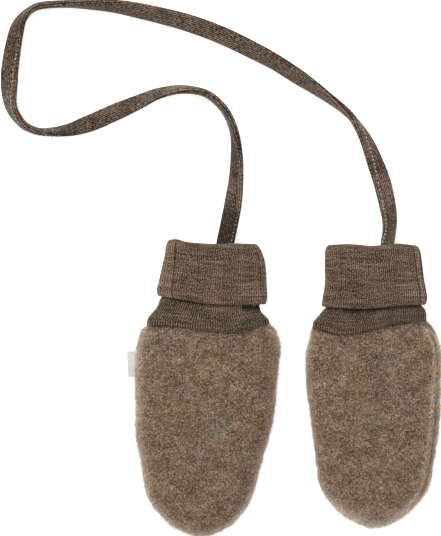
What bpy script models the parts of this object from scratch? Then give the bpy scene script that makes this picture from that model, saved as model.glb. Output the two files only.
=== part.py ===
"""A pair of baby mittens joined by a flat strap, laid flat on a surface.

Each mitten is a front and a back panel of brushed wool fleece, lying on each other, with a rib-knit
cuff sewn to the wrist and turned back once on the outside. The strap is a flattened jersey tube whose
two ends go into the mouths of the cuffs, and the left mitten has a small tab in its outer side seam.

All lengths are in millimetres, and each mesh is scaled to metres as it is made. +X is to the right,
+Y from the mittens' tips towards their cuffs, and +Z up from the surface that the pair lies on.
"""

import math
from collections import namedtuple

import bmesh
import bpy
from mathutils import Vector

MM = 0.001
SEAM_GAP = 0.3
WRIST_SEAM_GAP = 0.5
SHARP_EDGE = math.radians(50)

# ---- fleece panels ----
FLEECE_TOP = 8.0
SIDE_SEAM_HEIGHT = 3.9
CROWN_ROUNDNESS = 3.2
UNDERSIDE_ROUNDNESS = 7.0
SEAM_TUCK = 0.8
PANEL_GAP = 0.4
SEAM_TUCK_SHARE = 0.25
LIP_TURN = 0.12
LEAST_LIP = 0.8
ROLLED_SEAM_RUN = 4.5
PANEL_POINTS = 18
PANEL_RINGS = 20
WRIST_BOW_FADES_AT = 15.0
WRIST_HEIGHT_SHARE = 0.72
WRIST_RISE_RUN = 4.0
WRIST_UNDERSIDE_LIFT = 0.7
TIP_TOP_ROUNDING = 9.0
TIP_UNDERSIDE_ROUNDING = 4.5
TIP_ROUNDNESS = 2.3

# ---- rib cuffs ----
CUFF_WALL = 1.3
LAYER_GAP = 0.3
MOUTH_AT_SIDES = 0.6
MOUTH_IN_MIDDLE = 3.3
MOUTH_FLATNESS = 6
RIBS = 50
RIB_HEIGHT = 0.35
GROOVE_DEPTH = 0.4
UNDERSIDE_COLUMNS = 22
STAND_SAG = 0.4
OUTSIDE = 2 * CUFF_WALL + LAYER_GAP

# ---- strap ----
STRAP_WIDTH = 9.3
STRAP_FLAT_THICKNESS = 2.4
STRAP_EDGE_THICKNESS = 4.0
STRAP_STATIONS = 74
STRAP_END_STEPS = 4
HEADING_STEP = 0.1

# ---- side label ----
LABEL_LENGTH = 13.6
LABEL_REACH = 3.9
LABEL_THICKNESS = 0.8
LABEL_CORNER = 0.35
LABEL_CORNER_STEPS = 2
LABEL_CENTRE = (-79.05, 12.4)
LABEL_TURN = math.radians(3)

Line = namedtuple("Line", "far_left left middle right far_right")
Side = namedtuple("Side", "down left right")
Section = namedtuple("Section", "below left right roll")
Mitten = namedtuple("Mitten", "name place fold free_edge seam turned_back stand body grooves")
CuffRow = namedtuple("CuffRow", "down out shift ribbed")
Station = namedtuple("Station", "x y roll lift width", defaults=(STRAP_WIDTH,))

# Each mitten is drawn round its own wrist, which lies at its place. A Line gives +Y at five places
# across a cuff. A Side gives how far the cuff reaches to the left and right of the middle, where down
# is 0 at the fold, 1 at the turned-back free edge and 2 at the wrist seam. A Section does so for the
# fleece, below the wrist seam, and its roll is how far the right-hand side seam lies in from the edge,
# on the top.
LEFT_MITTEN = Mitten(
    name="left",
    place=(-40.2, 30.45),
    fold=Line(46.7, 45.5, 44.7, 44.9, 44.7),
    free_edge=Line(17.4, 15.2, 13.0, 12.4, 13.4),
    seam=Line(1.0, 0.8, -1.5, -2.3, 2.3),
    turned_back=(
        Side(0.0, 20.3, 26.7),
        Side(0.1, 20.9, 28.2),
        Side(0.3, 21.7, 30.5),
        Side(0.5, 22.9, 30.9),
        Side(0.7, 24.3, 31.0),
        Side(0.88, 25.8, 31.3),
        Side(1.0, 25.1, 30.7),
    ),
    stand=(
        Side(1.0, 23.8, 27.6),
        Side(1.3, 24.9, 27.6),
        Side(1.5, 27.6, 29.7),
        Side(1.7, 30.4, 32.0),
        Side(2.0, 31.2, 32.8),
    ),
    body=(
        Section(0.0, 31.2, 32.8, 0.0),
        Section(2.0, 34.2, 35.9, 0.0),
        Section(5.5, 35.9, 38.0, 0.0),
        Section(12.0, 36.5, 38.3, 0.0),
        Section(26.5, 37.1, 36.6, 0.0),
        Section(41.0, 36.8, 35.6, 0.0),
        Section(55.0, 36.8, 32.7, 0.0),
        Section(68.0, 34.4, 28.9, 0.0),
        Section(79.0, 32.6, 26.1, 0.0),
        Section(88.0, 30.4, 23.1, 0.0),
        Section(95.2, 25.0, 19.0, 0.0),
        Section(100.5, 20.2, 14.3, 0.0),
        Section(104.3, 14.5, 8.5, 0.0),
        Section(106.4, 9.4, 3.3, 0.0),
        Section(107.3, 5.8, 0.1, 0.0),
    ),
    grooves=(6, 18, 30, 48),
)
RIGHT_MITTEN = Mitten(
    name="right",
    place=(46.7, 30.45),
    fold=Line(44.2, 44.6, 43.7, 44.8, 43.9),
    free_edge=Line(11.7, 11.1, 11.0, 12.2, 12.7),
    seam=Line(0.0, -3.4, -1.1, 2.6, 3.9),
    turned_back=(
        Side(0.0, 24.5, 23.2),
        Side(0.1, 25.2, 24.1),
        Side(0.3, 25.1, 25.1),
        Side(0.5, 24.9, 25.7),
        Side(0.7, 25.3, 26.7),
        Side(0.88, 26.3, 27.6),
        Side(1.0, 27.0, 26.9),
    ),
    stand=(
        Side(1.0, 25.2, 25.4),
        Side(1.3, 27.5, 26.7),
        Side(1.5, 29.5, 27.2),
        Side(1.7, 31.4, 27.3),
        Side(2.0, 31.7, 27.3),
    ),
    body=(
        Section(0.0, 31.7, 27.3, 1.0),
        Section(2.0, 32.7, 31.0, 1.5),
        Section(5.5, 33.8, 33.4, 2.0),
        Section(12.0, 34.7, 34.8, 2.2),
        Section(26.5, 35.1, 34.6, 2.2),
        Section(41.0, 33.2, 34.5, 2.2),
        Section(55.0, 31.6, 33.3, 2.2),
        Section(68.0, 29.9, 31.3, 2.2),
        Section(79.0, 28.5, 29.6, 2.1),
        Section(86.0, 25.6, 26.4, 1.9),
        Section(92.0, 20.9, 21.6, 1.1),
        Section(97.0, 15.3, 16.4, 0.0),
        Section(100.5, 8.5, 10.0, 0.0),
        Section(102.4, 4.9, 6.0, 0.0),
        Section(103.1, 3.4, 4.2, 0.0),
    ),
    grooves=(9, 23, 36, 48),
)

# The cuff's wall, followed once round its own section: down as in Side, out is the distance from the
# mouth, shift moves the row towards +Y, and ribbed is the share of the ribs' height that it has.
CUFF_ROWS = (
    CuffRow(2.0, 0.0, WRIST_SEAM_GAP / 2, 0.0),
    CuffRow(1.2, 0.0, 0.0, 0.0),
    CuffRow(0.1, 0.0, 0.0, 0.0),
    CuffRow(0.0, 0.4, -0.8, 0.0),
    CuffRow(0.0, 1.45, 0.0, 0.3),
    CuffRow(0.0, 2.5, -0.8, 0.7),
    CuffRow(0.1, OUTSIDE, 0.0, 1.0),
    CuffRow(0.5, OUTSIDE, 0.0, 1.0),
    CuffRow(0.88, OUTSIDE, 0.0, 1.0),
    CuffRow(1.0, OUTSIDE - 0.2, 0.2, 0.6),
    CuffRow(1.0, OUTSIDE - CUFF_WALL + 0.2, 0.2, 0.0),
    CuffRow(0.9, OUTSIDE - CUFF_WALL, 0.0, 0.0),
    CuffRow(0.1, OUTSIDE - CUFF_WALL, 0.0, 0.0),
    CuffRow(0.0, CUFF_WALL + LAYER_GAP / 2, -1.7, 0.0),
    CuffRow(0.1, CUFF_WALL, 0.0, 0.0),
    CuffRow(0.9, CUFF_WALL, 0.0, 0.0),
    CuffRow(1.15, CUFF_WALL, 0.0, 0.8),
    CuffRow(1.5, CUFF_WALL, 0.0, 1.0),
    CuffRow(2.0, CUFF_WALL, WRIST_SEAM_GAP / 2, 0.7),
)

# The strap's route from the left cuff's mouth to the right one's: roll is in degrees, positive where
# the side on the left of the way is up, lift is the clearance under the strap, and width is its own
# when it lies flat. It is gathered a little where it goes into the right cuff.
STRAP_ROUTE = (
    Station(-31.2, 65.0, 0, 3.2),
    Station(-30.5, 74.5, 0, 3.2),
    Station(-28.9, 82.5, 0, 1.8),
    Station(-27.6, 89.0, -5, 0.6),
    Station(-26.4, 95.5, -10, 0.0),
    Station(-24.9, 107.5, -36, 0.0),
    Station(-24.5, 120.5, -54, 0.0),
    Station(-25.8, 133.0, -76, 0.0),
    Station(-30.8, 144.5, -83, 0.0),
    Station(-40.2, 152.9, -90, 0.0),
    Station(-52.5, 155.4, -104, 0.0),
    Station(-65.0, 153.4, -121, 0.0),
    Station(-76.8, 148.3, -147, 0.0),
    Station(-88.4, 143.2, -169, 0.0),
    Station(-100.0, 138.1, -168, 0.0),
    Station(-112.1, 134.1, -133, 0.0),
    Station(-124.7, 133.1, -97, 0.0),
    Station(-131.5, 134.6, -88, 0.0),
    Station(-136.8, 138.2, -74, 0.0),
    Station(-142.0, 147.0, -47, 0.0),
    Station(-142.9, 161.3, -8, 0.0),
    Station(-141.5, 173.9, -15, 0.0),
    Station(-138.9, 186.3, -33, 0.0),
    Station(-136.0, 192.3, -57, 0.0),
    Station(-131.5, 196.6, -78, 0.0),
    Station(-125.8, 198.8, -82, 0.0),
    Station(-113.2, 199.6, -88, 0.0),
    Station(-100.5, 199.2, -105, 0.0),
    Station(-87.8, 198.4, -127, 0.0),
    Station(-75.3, 196.2, -144, 0.0),
    Station(-62.8, 193.4, -153, 0.0),
    Station(-50.6, 190.2, -163, 0.0),
    Station(-38.5, 186.1, -177, 0.0),
    Station(-26.8, 181.1, -171, 0.0),
    Station(-15.5, 175.4, -161, 0.0),
    Station(-4.3, 169.4, -150, 0.0),
    Station(6.4, 162.5, -146, 0.0),
    Station(16.0, 156.0, -125, 0.0),
    Station(27.4, 147.7, -99, 0.0),
    Station(32.4, 143.5, -90, 0.0),
    Station(36.5, 139.2, -79, 0.0),
    Station(42.5, 129.6, -48, 0.0),
    Station(47.4, 117.8, -21, 0.0),
    Station(51.6, 105.9, -4, 0.0),
    Station(54.3, 93.4, -14, 0.2, 9.0),
    Station(55.1, 86.5, -24, 0.8, 8.6),
    Station(54.7, 80.5, -24, 1.9, 7.8),
    Station(53.8, 74.0, 0, 3.2, 7.0),
    Station(53.6, 65.0, 0, 3.2, 7.0),
)

# ---- finishes: base colour and roughness ----
FLEECE_BROWN = (0.190, 0.145, 0.108)
RIB_BROWN = (0.125, 0.095, 0.075)
STRAP_BROWN = (0.110, 0.082, 0.062)
LABEL_WHITE = (0.830, 0.820, 0.790)
CLOTH_ROUGHNESS = 0.95
LABEL_ROUGHNESS = 0.7


def cloth(name, colour, roughness):
    material = bpy.data.materials.new(name)
    material.use_nodes = True
    shader = material.node_tree.nodes["Principled BSDF"]
    shader.inputs["Base Color"].default_value = (*colour, 1.0)
    shader.inputs["Roughness"].default_value = roughness
    shader.inputs["Metallic"].default_value = 0.0
    return material


def start_scene():
    for thing in list(bpy.data.objects):
        bpy.data.objects.remove(thing, do_unlink=True)
    collection = bpy.data.collections.new("baby_mittens")
    bpy.context.scene.collection.children.link(collection)
    return collection


def add_piece(collection, name, bm, material, parent=None):
    """Scales a finished shape to metres and adds it as one named object."""
    bmesh.ops.recalc_face_normals(bm, faces=bm.faces)
    bmesh.ops.scale(bm, vec=(MM, MM, MM), verts=bm.verts)
    mesh = bpy.data.meshes.new(name)
    bm.to_mesh(mesh)
    bm.free()
    mesh.materials.append(material)
    mesh.shade_smooth()
    mesh.set_sharp_from_angle(angle=SHARP_EDGE)
    piece = bpy.data.objects.new(name, mesh)
    piece.parent = parent
    collection.objects.link(piece)
    return piece


def skin(bm, rings, joined=False):
    """Quads from each ring of points to the next, and from the last to the first where joined."""
    made = [[bm.verts.new(point) for point in ring] for ring in rings]
    pairs = list(zip(made, made[1:]))
    if joined:
        pairs.append((made[-1], made[0]))
    for ring, following in pairs:
        for i in range(len(ring)):
            j = (i + 1) % len(ring)
            bm.faces.new((ring[i], ring[j], following[j], following[i]))
    return made


def blend(low, high, share):
    return low + (high - low) * share


def smooth_step(share):
    share = min(1.0, max(0.0, share))
    return share * share * (3 - 2 * share)


def spline(before, start, end, after, share):
    """One number on a Catmull-Rom curve between start and end."""
    return 0.5 * (
        2 * start
        + (end - before) * share
        + (2 * before - 5 * start + 4 * end - after) * share**2
        + (3 * start - before - 3 * end + after) * share**3
    )


def row_at(rows, place):
    """The row at a place such as 2.5, half-way from rows[2] to rows[3], each column on a smooth curve."""
    first = min(int(place), len(rows) - 2)
    near = [rows[min(max(first + step, 0), len(rows) - 1)] for step in (-1, 0, 1, 2)]
    return type(rows[0])(*(spline(*column, place - first) for column in zip(*near)))


def height_across(line, left, right, x):
    """A Line's +Y above x, where the line runs from left to right."""
    place = (len(line) - 1) * min(1.0, max(0.0, (x - left) / (right - left)))
    first = min(int(place), len(line) - 2)
    near = [line[min(max(first + step, 0), len(line) - 1)] for step in (-1, 0, 1, 2)]
    return spline(*near, place - first)


# ---- fleece panels ----


def body_point(section, top, low, turn):
    """A point on the outside: turn is 0 on the right, pi on the left, and less than 0 underneath."""
    centre = (section.right - section.left) / 2
    reach = (section.right + section.left) / 2
    roundness = CROWN_ROUNDNESS if turn >= 0 else UNDERSIDE_ROUNDNESS
    height = top - SIDE_SEAM_HEIGHT if turn >= 0 else low - SIDE_SEAM_HEIGHT
    share = math.cos(turn)
    bulge = (1 - abs(share) ** roundness) ** (1 / roundness)
    return Vector((centre + reach * share, SIDE_SEAM_HEIGHT + height * bulge))


def seam_turn(section):
    """Where the rolled side seam lies on the top."""
    reach = (section.right + section.left) / 2
    return math.acos(min(1.0, (reach - section.roll) / reach))


def parting_line(section, top, low, toward_top):
    """Where one panel lies on the other, from the right-hand side seam to the left-hand one."""
    tuck = min(SEAM_TUCK, SEAM_TUCK_SHARE * (top - low))
    start = body_point(section, top, low, seam_turn(section))
    risen = smooth_step(section.roll)
    start += Vector((-tuck * (1 - risen), -tuck * risen))
    end_x = -section.left + tuck
    run = min(ROLLED_SEAM_RUN, (start.x - end_x) / 2)
    line = []
    for i in range(PANEL_POINTS):
        share = (1 - math.cos(math.pi * i / (PANEL_POINTS - 1))) / 2
        x = blend(start.x, end_x, share)
        still_up = max(0.0, 1 - (start.x - x) / run)
        fallen = math.sqrt(1 - still_up**2)
        line.append(Vector((x, blend(start.y, SIDE_SEAM_HEIGHT, fallen))))
    moved = []
    for i, point in enumerate(line):
        along = line[min(i + 1, len(line) - 1)] - line[max(i - 1, 0)]
        across = Vector((-along.y, along.x)).normalized()
        moved.append(point - across * toward_top * PANEL_GAP / 2)
    return moved


def panel_ring(section, top, low, is_front):
    """A panel's outer points, from one side seam to the other, and its inner points beside them."""
    inner = parting_line(section, top, low, 1 if is_front else -1)
    rolled_at = seam_turn(section)
    lip = max(LIP_TURN, 2 * LEAST_LIP / (section.right + section.left))
    first = rolled_at + lip if is_front else rolled_at - lip
    last = math.pi - lip if is_front else lip - math.pi
    outer = [inner[0]]
    for i in range(PANEL_POINTS - 2):
        share = i / (PANEL_POINTS - 3)
        outer.append(body_point(section, top, low, blend(first, last, share)))
    outer.append(inner[-1])
    return outer, inner[1:-1]


def heights_at(below, tip):
    """The top and the underside of the fleece, this far below the wrist seam."""
    rise = blend(WRIST_HEIGHT_SHARE, 1.0, smooth_step(below / WRIST_RISE_RUN))
    top_share = min(1.0, (tip - below) / TIP_TOP_ROUNDING)
    low_share = min(1.0, (tip - below) / TIP_UNDERSIDE_ROUNDING)
    fall = (1 - (1 - top_share) ** TIP_ROUNDNESS) ** (1 / TIP_ROUNDNESS)
    flat = (1 - (1 - low_share) ** TIP_ROUNDNESS) ** (1 / TIP_ROUNDNESS)
    lift = WRIST_UNDERSIDE_LIFT * (1 - smooth_step(below / WRIST_RISE_RUN))
    top = blend(SIDE_SEAM_HEIGHT, FLEECE_TOP, rise * fall)
    return top, blend(SIDE_SEAM_HEIGHT, lift, flat)


def close_panel_end(bm, ring):
    """Faces across a panel's wall, between its outer points and the inner ones beside them."""
    outer, inner = ring[:PANEL_POINTS], ring[PANEL_POINTS:][::-1]
    inner = [outer[0], *inner, outer[-1]]
    for i in range(PANEL_POINTS - 1):
        corners = dict.fromkeys((outer[i], outer[i + 1], inner[i + 1], inner[i]))
        bm.faces.new(list(corners))


def fleece_panel(collection, mitten, is_front, wrist_frame, material):
    wrist = mitten.body[0]
    tip = mitten.body[-1].below + SEAM_GAP
    last = len(mitten.body) - 1
    rings = []
    for step in range(PANEL_RINGS):
        section = row_at(mitten.body, last * step / (PANEL_RINGS - 1))
        top, low = heights_at(section.below, tip)
        outer, inner = panel_ring(section, top, low, is_front)
        fade = max(0.0, 1 - section.below / WRIST_BOW_FADES_AT) ** 2
        ring = []
        for point in outer + inner[::-1]:
            bow = height_across(mitten.seam, -wrist.left, wrist.right, point.x)
            y = fade * bow - section.below - WRIST_SEAM_GAP / 2
            ring.append((point.x, y, point.y))
        rings.append(ring)
    bm = bmesh.new()
    made = skin(bm, rings)
    close_panel_end(bm, made[0])
    close_panel_end(bm, made[-1])
    side = "front" if is_front else "back"
    return add_piece(collection, f"{mitten.name}_{side}_panel", bm, material, wrist_frame)


# ---- rib cuffs ----


def reach_at(sides, down):
    """How far a cuff's outline reaches to the left and right of the centre line."""
    for upper, lower in zip(sides, sides[1:]):
        if down <= lower.down:
            break
    share = (down - upper.down) / (lower.down - upper.down)
    return blend(upper.left, lower.left, share), blend(upper.right, lower.right, share)


def cuff_reach(mitten, row):
    if row.down > 1:
        left, right = reach_at(mitten.stand, row.down)
        inset = CUFF_WALL - row.out
    else:
        left, right = reach_at(mitten.turned_back, row.down)
        inset = OUTSIDE - row.out
    return left - inset, right - inset


def cuff_y(mitten, down, x):
    upper, lower = (mitten.fold, mitten.free_edge) if down <= 1 else (mitten.free_edge, mitten.seam)
    left, right = reach_at(mitten.turned_back, min(down, 1.0))
    if down > 1:
        left, right = reach_at(mitten.stand, down)
    ys = [height_across(line, -left, right, x) for line in (upper, lower)]
    return blend(*ys, down if down <= 1 else down - 1)


def half_oval(left, right, radius, share):
    """A point, and the way outwards, on the upper half of a flattened oval, from left to right."""
    flat = left + right - 2 * radius
    corner = math.pi * radius / 2
    way = share * (flat + 2 * corner)
    if way < corner:
        angle, centre = math.pi - way / radius, -left + radius
    elif way > corner + flat:
        angle, centre = (flat + 2 * corner - way) / radius, right - radius
    else:
        return Vector((-left + radius + way - corner, radius)), Vector((0, 1))
    outwards = Vector((math.cos(angle), math.sin(angle)))
    return Vector((centre, 0)) + radius * outwards, outwards


def rib_offset(mitten, column):
    """Ribs are the odd columns of a cuff's top, and a dropped needle leaves a deeper groove."""
    if column % 2:
        return RIB_HEIGHT
    return -GROOVE_DEPTH if column // 2 in mitten.grooves else 0.0


def cuff_ring(mitten, row):
    left, right = cuff_reach(mitten, row)
    radius = MOUTH_AT_SIDES / 2 + row.out
    floor = OUTSIDE - row.out - STAND_SAG * max(0.0, row.down - 1)
    centre, reach = (right - left) / 2, (left + right) / 2
    ring = []

    def add(x, z):
        y = cuff_y(mitten, row.down, x) + row.shift
        ring.append((x, y, floor + radius + z))

    for column in range(2 * RIBS + 1):
        point, outwards = half_oval(left, right, radius, column / (2 * RIBS))
        open_share = 1 - abs((point.x - centre) / reach) ** MOUTH_FLATNESS
        point += row.ribbed * rib_offset(mitten, column) * outwards
        add(point.x, point.y + (MOUTH_IN_MIDDLE - MOUTH_AT_SIDES) * open_share)
    for column in range(1, UNDERSIDE_COLUMNS):
        share = (1 + math.cos(math.pi * column / UNDERSIDE_COLUMNS)) / 2
        point, outwards = half_oval(left, right, radius, share)
        add(point.x, -point.y)
    return ring


def rib_cuff(collection, mitten, wrist_frame, material):
    bm = bmesh.new()
    skin(bm, [cuff_ring(mitten, row) for row in CUFF_ROWS], joined=True)
    return add_piece(collection, f"{mitten.name}_rib_cuff", bm, material, wrist_frame)


# ---- strap ----


def strap_section(station):
    """The flattened tube across the way: wide and thin lying flat, rounder where it stands on edge."""
    girth = 2 * (station.width - STRAP_FLAT_THICKNESS) + math.pi * STRAP_FLAT_THICKNESS
    roll = math.radians(station.roll)
    thickness = blend(STRAP_FLAT_THICKNESS, STRAP_EDGE_THICKNESS, math.sin(roll) ** 2)
    flat = (girth - math.pi * thickness) / 2
    centre_height = thickness / 2 + abs(math.sin(roll)) * flat / 2
    points = []
    for side in (1, -1):
        for step in range(STRAP_END_STEPS + 1):
            angle = side * math.pi / 2 - math.pi * step / STRAP_END_STEPS
            x = side * flat / 2 + thickness / 2 * math.cos(angle)
            points.append(Vector((x, thickness / 2 * math.sin(angle))))
        points.append(Vector((0, -side * thickness / 2)))
    turn = [Vector((math.cos(roll), -math.sin(roll))), Vector((math.sin(roll), math.cos(roll)))]
    rise = Vector((0, centre_height + max(0.0, station.lift)))
    return [turn[0] * p.x + turn[1] * p.y + rise for p in points]


def strap(collection, material):
    last = len(STRAP_ROUTE) - 1
    rings = []
    for i in range(STRAP_STATIONS):
        place = last * i / (STRAP_STATIONS - 1)
        here = row_at(STRAP_ROUTE, place)
        before = row_at(STRAP_ROUTE, max(place - HEADING_STEP, 0))
        after = row_at(STRAP_ROUTE, min(place + HEADING_STEP, last))
        along = Vector((after.x - before.x, after.y - before.y)).normalized()
        right = Vector((along.y, -along.x))
        ring = []
        for point in strap_section(here):
            ring.append((here.x + right.x * point.x, here.y + right.y * point.x, point.y))
        rings.append(ring)
    bm = bmesh.new()
    made = skin(bm, rings)
    bm.faces.new(made[0])
    bm.faces.new(made[-1])
    return add_piece(collection, "strap", bm, material)


# ---- side label ----


def side_label(collection, material):
    bm = bmesh.new()
    bmesh.ops.create_cube(bm, size=1.0)
    size = (LABEL_REACH, LABEL_LENGTH, LABEL_THICKNESS)
    bmesh.ops.scale(bm, vec=size, verts=bm.verts)
    piece = add_piece(collection, "side_label", bm, material)
    x, y = LABEL_CENTRE
    piece.location = (x * MM, y * MM, SIDE_SEAM_HEIGHT * MM)
    piece.rotation_euler = (0, 0, LABEL_TURN)
    rounding = piece.modifiers.new("rounded_edges", "BEVEL")
    rounding.width = LABEL_CORNER * MM
    rounding.segments = LABEL_CORNER_STEPS
    return piece


def make_mittens():
    collection = start_scene()
    fleece = cloth("brushed_fleece", FLEECE_BROWN, CLOTH_ROUGHNESS)
    rib = cloth("rib_knit", RIB_BROWN, CLOTH_ROUGHNESS)
    for mitten in (LEFT_MITTEN, RIGHT_MITTEN):
        wrist_frame = bpy.data.objects.new(f"{mitten.name}_wrist", None)
        wrist_frame.location = (mitten.place[0] * MM, mitten.place[1] * MM, 0)
        collection.objects.link(wrist_frame)
        fleece_panel(collection, mitten, True, wrist_frame, fleece)
        fleece_panel(collection, mitten, False, wrist_frame, fleece)
        rib_cuff(collection, mitten, wrist_frame, rib)
    strap(collection, cloth("strap_jersey", STRAP_BROWN, CLOTH_ROUGHNESS))
    side_label(collection, cloth("label_tape", LABEL_WHITE, LABEL_ROUGHNESS))


make_mittens()
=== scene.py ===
"""A pair of baby mittens on a strap, laid flat on a pale floor.

Lengths are in millimetres up to the last step of each mesh, which scales it to metres. +X is to the
right, +Y from the mittens' tips towards their cuffs, and +Z up from the floor.
"""

import math

import bmesh
import bpy
import numpy as np
from mathutils import Matrix, Vector, noise


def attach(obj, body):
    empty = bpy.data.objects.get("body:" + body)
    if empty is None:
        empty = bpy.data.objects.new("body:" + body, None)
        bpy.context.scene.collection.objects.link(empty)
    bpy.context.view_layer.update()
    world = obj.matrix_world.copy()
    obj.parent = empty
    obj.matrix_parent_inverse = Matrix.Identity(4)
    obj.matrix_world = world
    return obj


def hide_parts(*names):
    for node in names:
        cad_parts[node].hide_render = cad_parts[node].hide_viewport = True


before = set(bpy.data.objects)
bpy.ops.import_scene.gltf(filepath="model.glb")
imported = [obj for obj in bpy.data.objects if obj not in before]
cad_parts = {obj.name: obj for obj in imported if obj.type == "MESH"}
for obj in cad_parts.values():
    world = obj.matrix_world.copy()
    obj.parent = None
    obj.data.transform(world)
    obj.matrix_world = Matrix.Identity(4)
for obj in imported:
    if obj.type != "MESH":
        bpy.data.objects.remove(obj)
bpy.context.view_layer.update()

# ---- Camera, light and floor ----
# The camera looks straight down through a long lens at a matt white table top. A large soft lamp
# stands beyond the cuffs on the left, a weaker one on the right, and a white room fills the rest.
scene = bpy.context.scene
VIEW_CENTRE = (-32.9, 62.3)
VIEW_LENGTH = 278.7
VIEW_PLANE = 4.0
SENSOR = 36.0
LENS = 150.0
FLOOR_GLOW = 0.5
camera_data = bpy.data.cameras.new("overhead_camera")
camera_data.sensor_width = SENSOR
camera_data.lens = LENS
camera_data.clip_end = 10.0
camera = bpy.data.objects.new("overhead_camera", camera_data)
camera_height = VIEW_LENGTH * LENS / SENSOR + VIEW_PLANE
camera.location = (VIEW_CENTRE[0] / 1000, VIEW_CENTRE[1] / 1000, camera_height / 1000)
scene.collection.objects.link(camera)
scene.camera = camera
scene.view_settings.view_transform = "Standard"
scene.view_settings.look = "None"


def soft_lamp(name, place, size, power):
    """A square area light that faces the middle of the mittens."""
    data = bpy.data.lights.new(name, "AREA")
    data.shape = "SQUARE"
    data.size = size
    data.energy = power
    lamp = bpy.data.objects.new(name, data)
    lamp.location = place
    facing = Vector((VIEW_CENTRE[0] / 1000, VIEW_CENTRE[1] / 1000, 0)) - Vector(place)
    lamp.rotation_euler = facing.to_track_quat("-Z", "Y").to_euler()
    scene.collection.objects.link(lamp)


def in_scene(name, mesh):
    """An object of this mesh, at the origin, unturned and unscaled."""
    piece = bpy.data.objects.new(name, mesh)
    scene.collection.objects.link(piece)
    return piece


soft_lamp("key_lamp", (-0.75, 0.95, 0.85), 0.8, 17.0)
soft_lamp("fill_lamp", (0.9, -0.2, 1.0), 1.0, 4.0)
room = bpy.data.worlds.new("white_room")
room.use_nodes = True
room.node_tree.nodes["Background"].inputs["Color"].default_value = (1.0, 0.99, 0.975, 1.0)
room.node_tree.nodes["Background"].inputs["Strength"].default_value = 0.75
scene.world = room

floor_bm = bmesh.new()
bmesh.ops.create_grid(floor_bm, x_segments=1, y_segments=1, size=2.0)
floor_mesh = bpy.data.meshes.new("table_top")
floor_bm.to_mesh(floor_mesh)
floor_bm.free()
floor = in_scene("table_top", floor_mesh)
floor_paint = bpy.data.materials.new("matt_white")
floor_paint.use_nodes = True
floor_shader = floor_paint.node_tree.nodes["Principled BSDF"]
floor_shader.inputs["Base Color"].default_value = (0.93, 0.93, 0.925, 1.0)
floor_shader.inputs["Roughness"].default_value = 0.9
floor_shader.inputs["Emission Color"].default_value = (1.0, 1.0, 1.0, 1.0)
floor_shader.inputs["Emission Strength"].default_value = FLOOR_GLOW
floor_mesh.materials.append(floor_paint)

# ---- Strap ----
# A tube of brown melange wool jersey, pressed flat and turned over where it bends. Its two ends are
# sewn inside the cuffs, and a light chain stitch closes it along one face.
STRAP_WIDTH = 9.3
GATHERED_AT = (43, 44, 45, 46, 47, 48)  # rows of the route, where the right cuff gathers the strap
GATHERED_TO = (9.3, 9.0, 8.6, 7.8, 7.0, 7.0)
STRAP_FLAT_THICKNESS = 2.4
STRAP_EDGE_THICKNESS = 4.0
STRAP_POINTS_ROUND = 64
STRAP_RINGS = 420
STRAP_ROUTE = (  # x, y, roll in degrees with the left side up, and clearance underneath
    (-31.2, 65.0, 0, 3.2),
    (-30.5, 74.5, 0, 3.2),
    (-28.9, 82.5, 0, 1.8),
    (-27.6, 89.0, -5, 0.6),
    (-26.4, 95.5, -10, 0.0),
    (-24.9, 107.5, -36, 0.0),
    (-24.5, 120.5, -54, 0.0),
    (-25.8, 133.0, -76, 0.0),
    (-30.8, 144.5, -83, 0.0),
    (-40.2, 152.9, -90, 0.0),
    (-52.5, 155.2, -108, 0.0),
    (-65.0, 153.1, -125, 0.0),
    (-76.8, 148.1, -149, 0.0),
    (-88.4, 143.2, -169, 0.0),
    (-100.0, 138.1, -168, 0.0),
    (-112.1, 134.1, -133, 0.0),
    (-124.7, 133.1, -97, 0.0),
    (-131.5, 134.6, -88, 0.0),
    (-136.8, 138.2, -74, 0.0),
    (-142.0, 147.0, -47, 0.0),
    (-142.9, 161.3, -8, 0.0),
    (-141.5, 173.9, -15, 0.0),
    (-138.9, 186.3, -33, 0.0),
    (-136.0, 192.3, -57, 0.0),
    (-131.5, 196.6, -78, 0.0),
    (-125.8, 198.8, -82, 0.0),
    (-113.2, 199.6, -88, 0.0),
    (-100.5, 199.2, -105, 0.0),
    (-87.8, 198.4, -127, 0.0),
    (-75.3, 196.2, -144, 0.0),
    (-62.8, 193.4, -153, 0.0),
    (-50.6, 190.2, -163, 0.0),
    (-38.5, 186.1, -177, 0.0),
    (-26.8, 181.1, -171, 0.0),
    (-15.5, 175.4, -161, 0.0),
    (-4.3, 169.4, -150, 0.0),
    (6.4, 162.5, -146, 0.0),
    (16.0, 156.0, -125, 0.0),
    (27.4, 147.7, -99, 0.0),
    (32.4, 143.5, -90, 0.0),
    (36.5, 139.2, -79, 0.0),
    (42.5, 129.6, -48, 0.0),
    (47.4, 117.8, -21, 0.0),
    (51.6, 105.9, -4, 0.0),
    (54.3, 93.4, -14, 0.2),
    (55.1, 86.5, -24, 0.8),
    (54.7, 80.5, -24, 1.9),
    (53.8, 74.0, 0, 3.2),
    (53.6, 65.0, 0, 3.2),
)
STRAP_LAST_ROW = len(STRAP_ROUTE) - 1
STRAP_LINE_POINTS = 260
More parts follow.
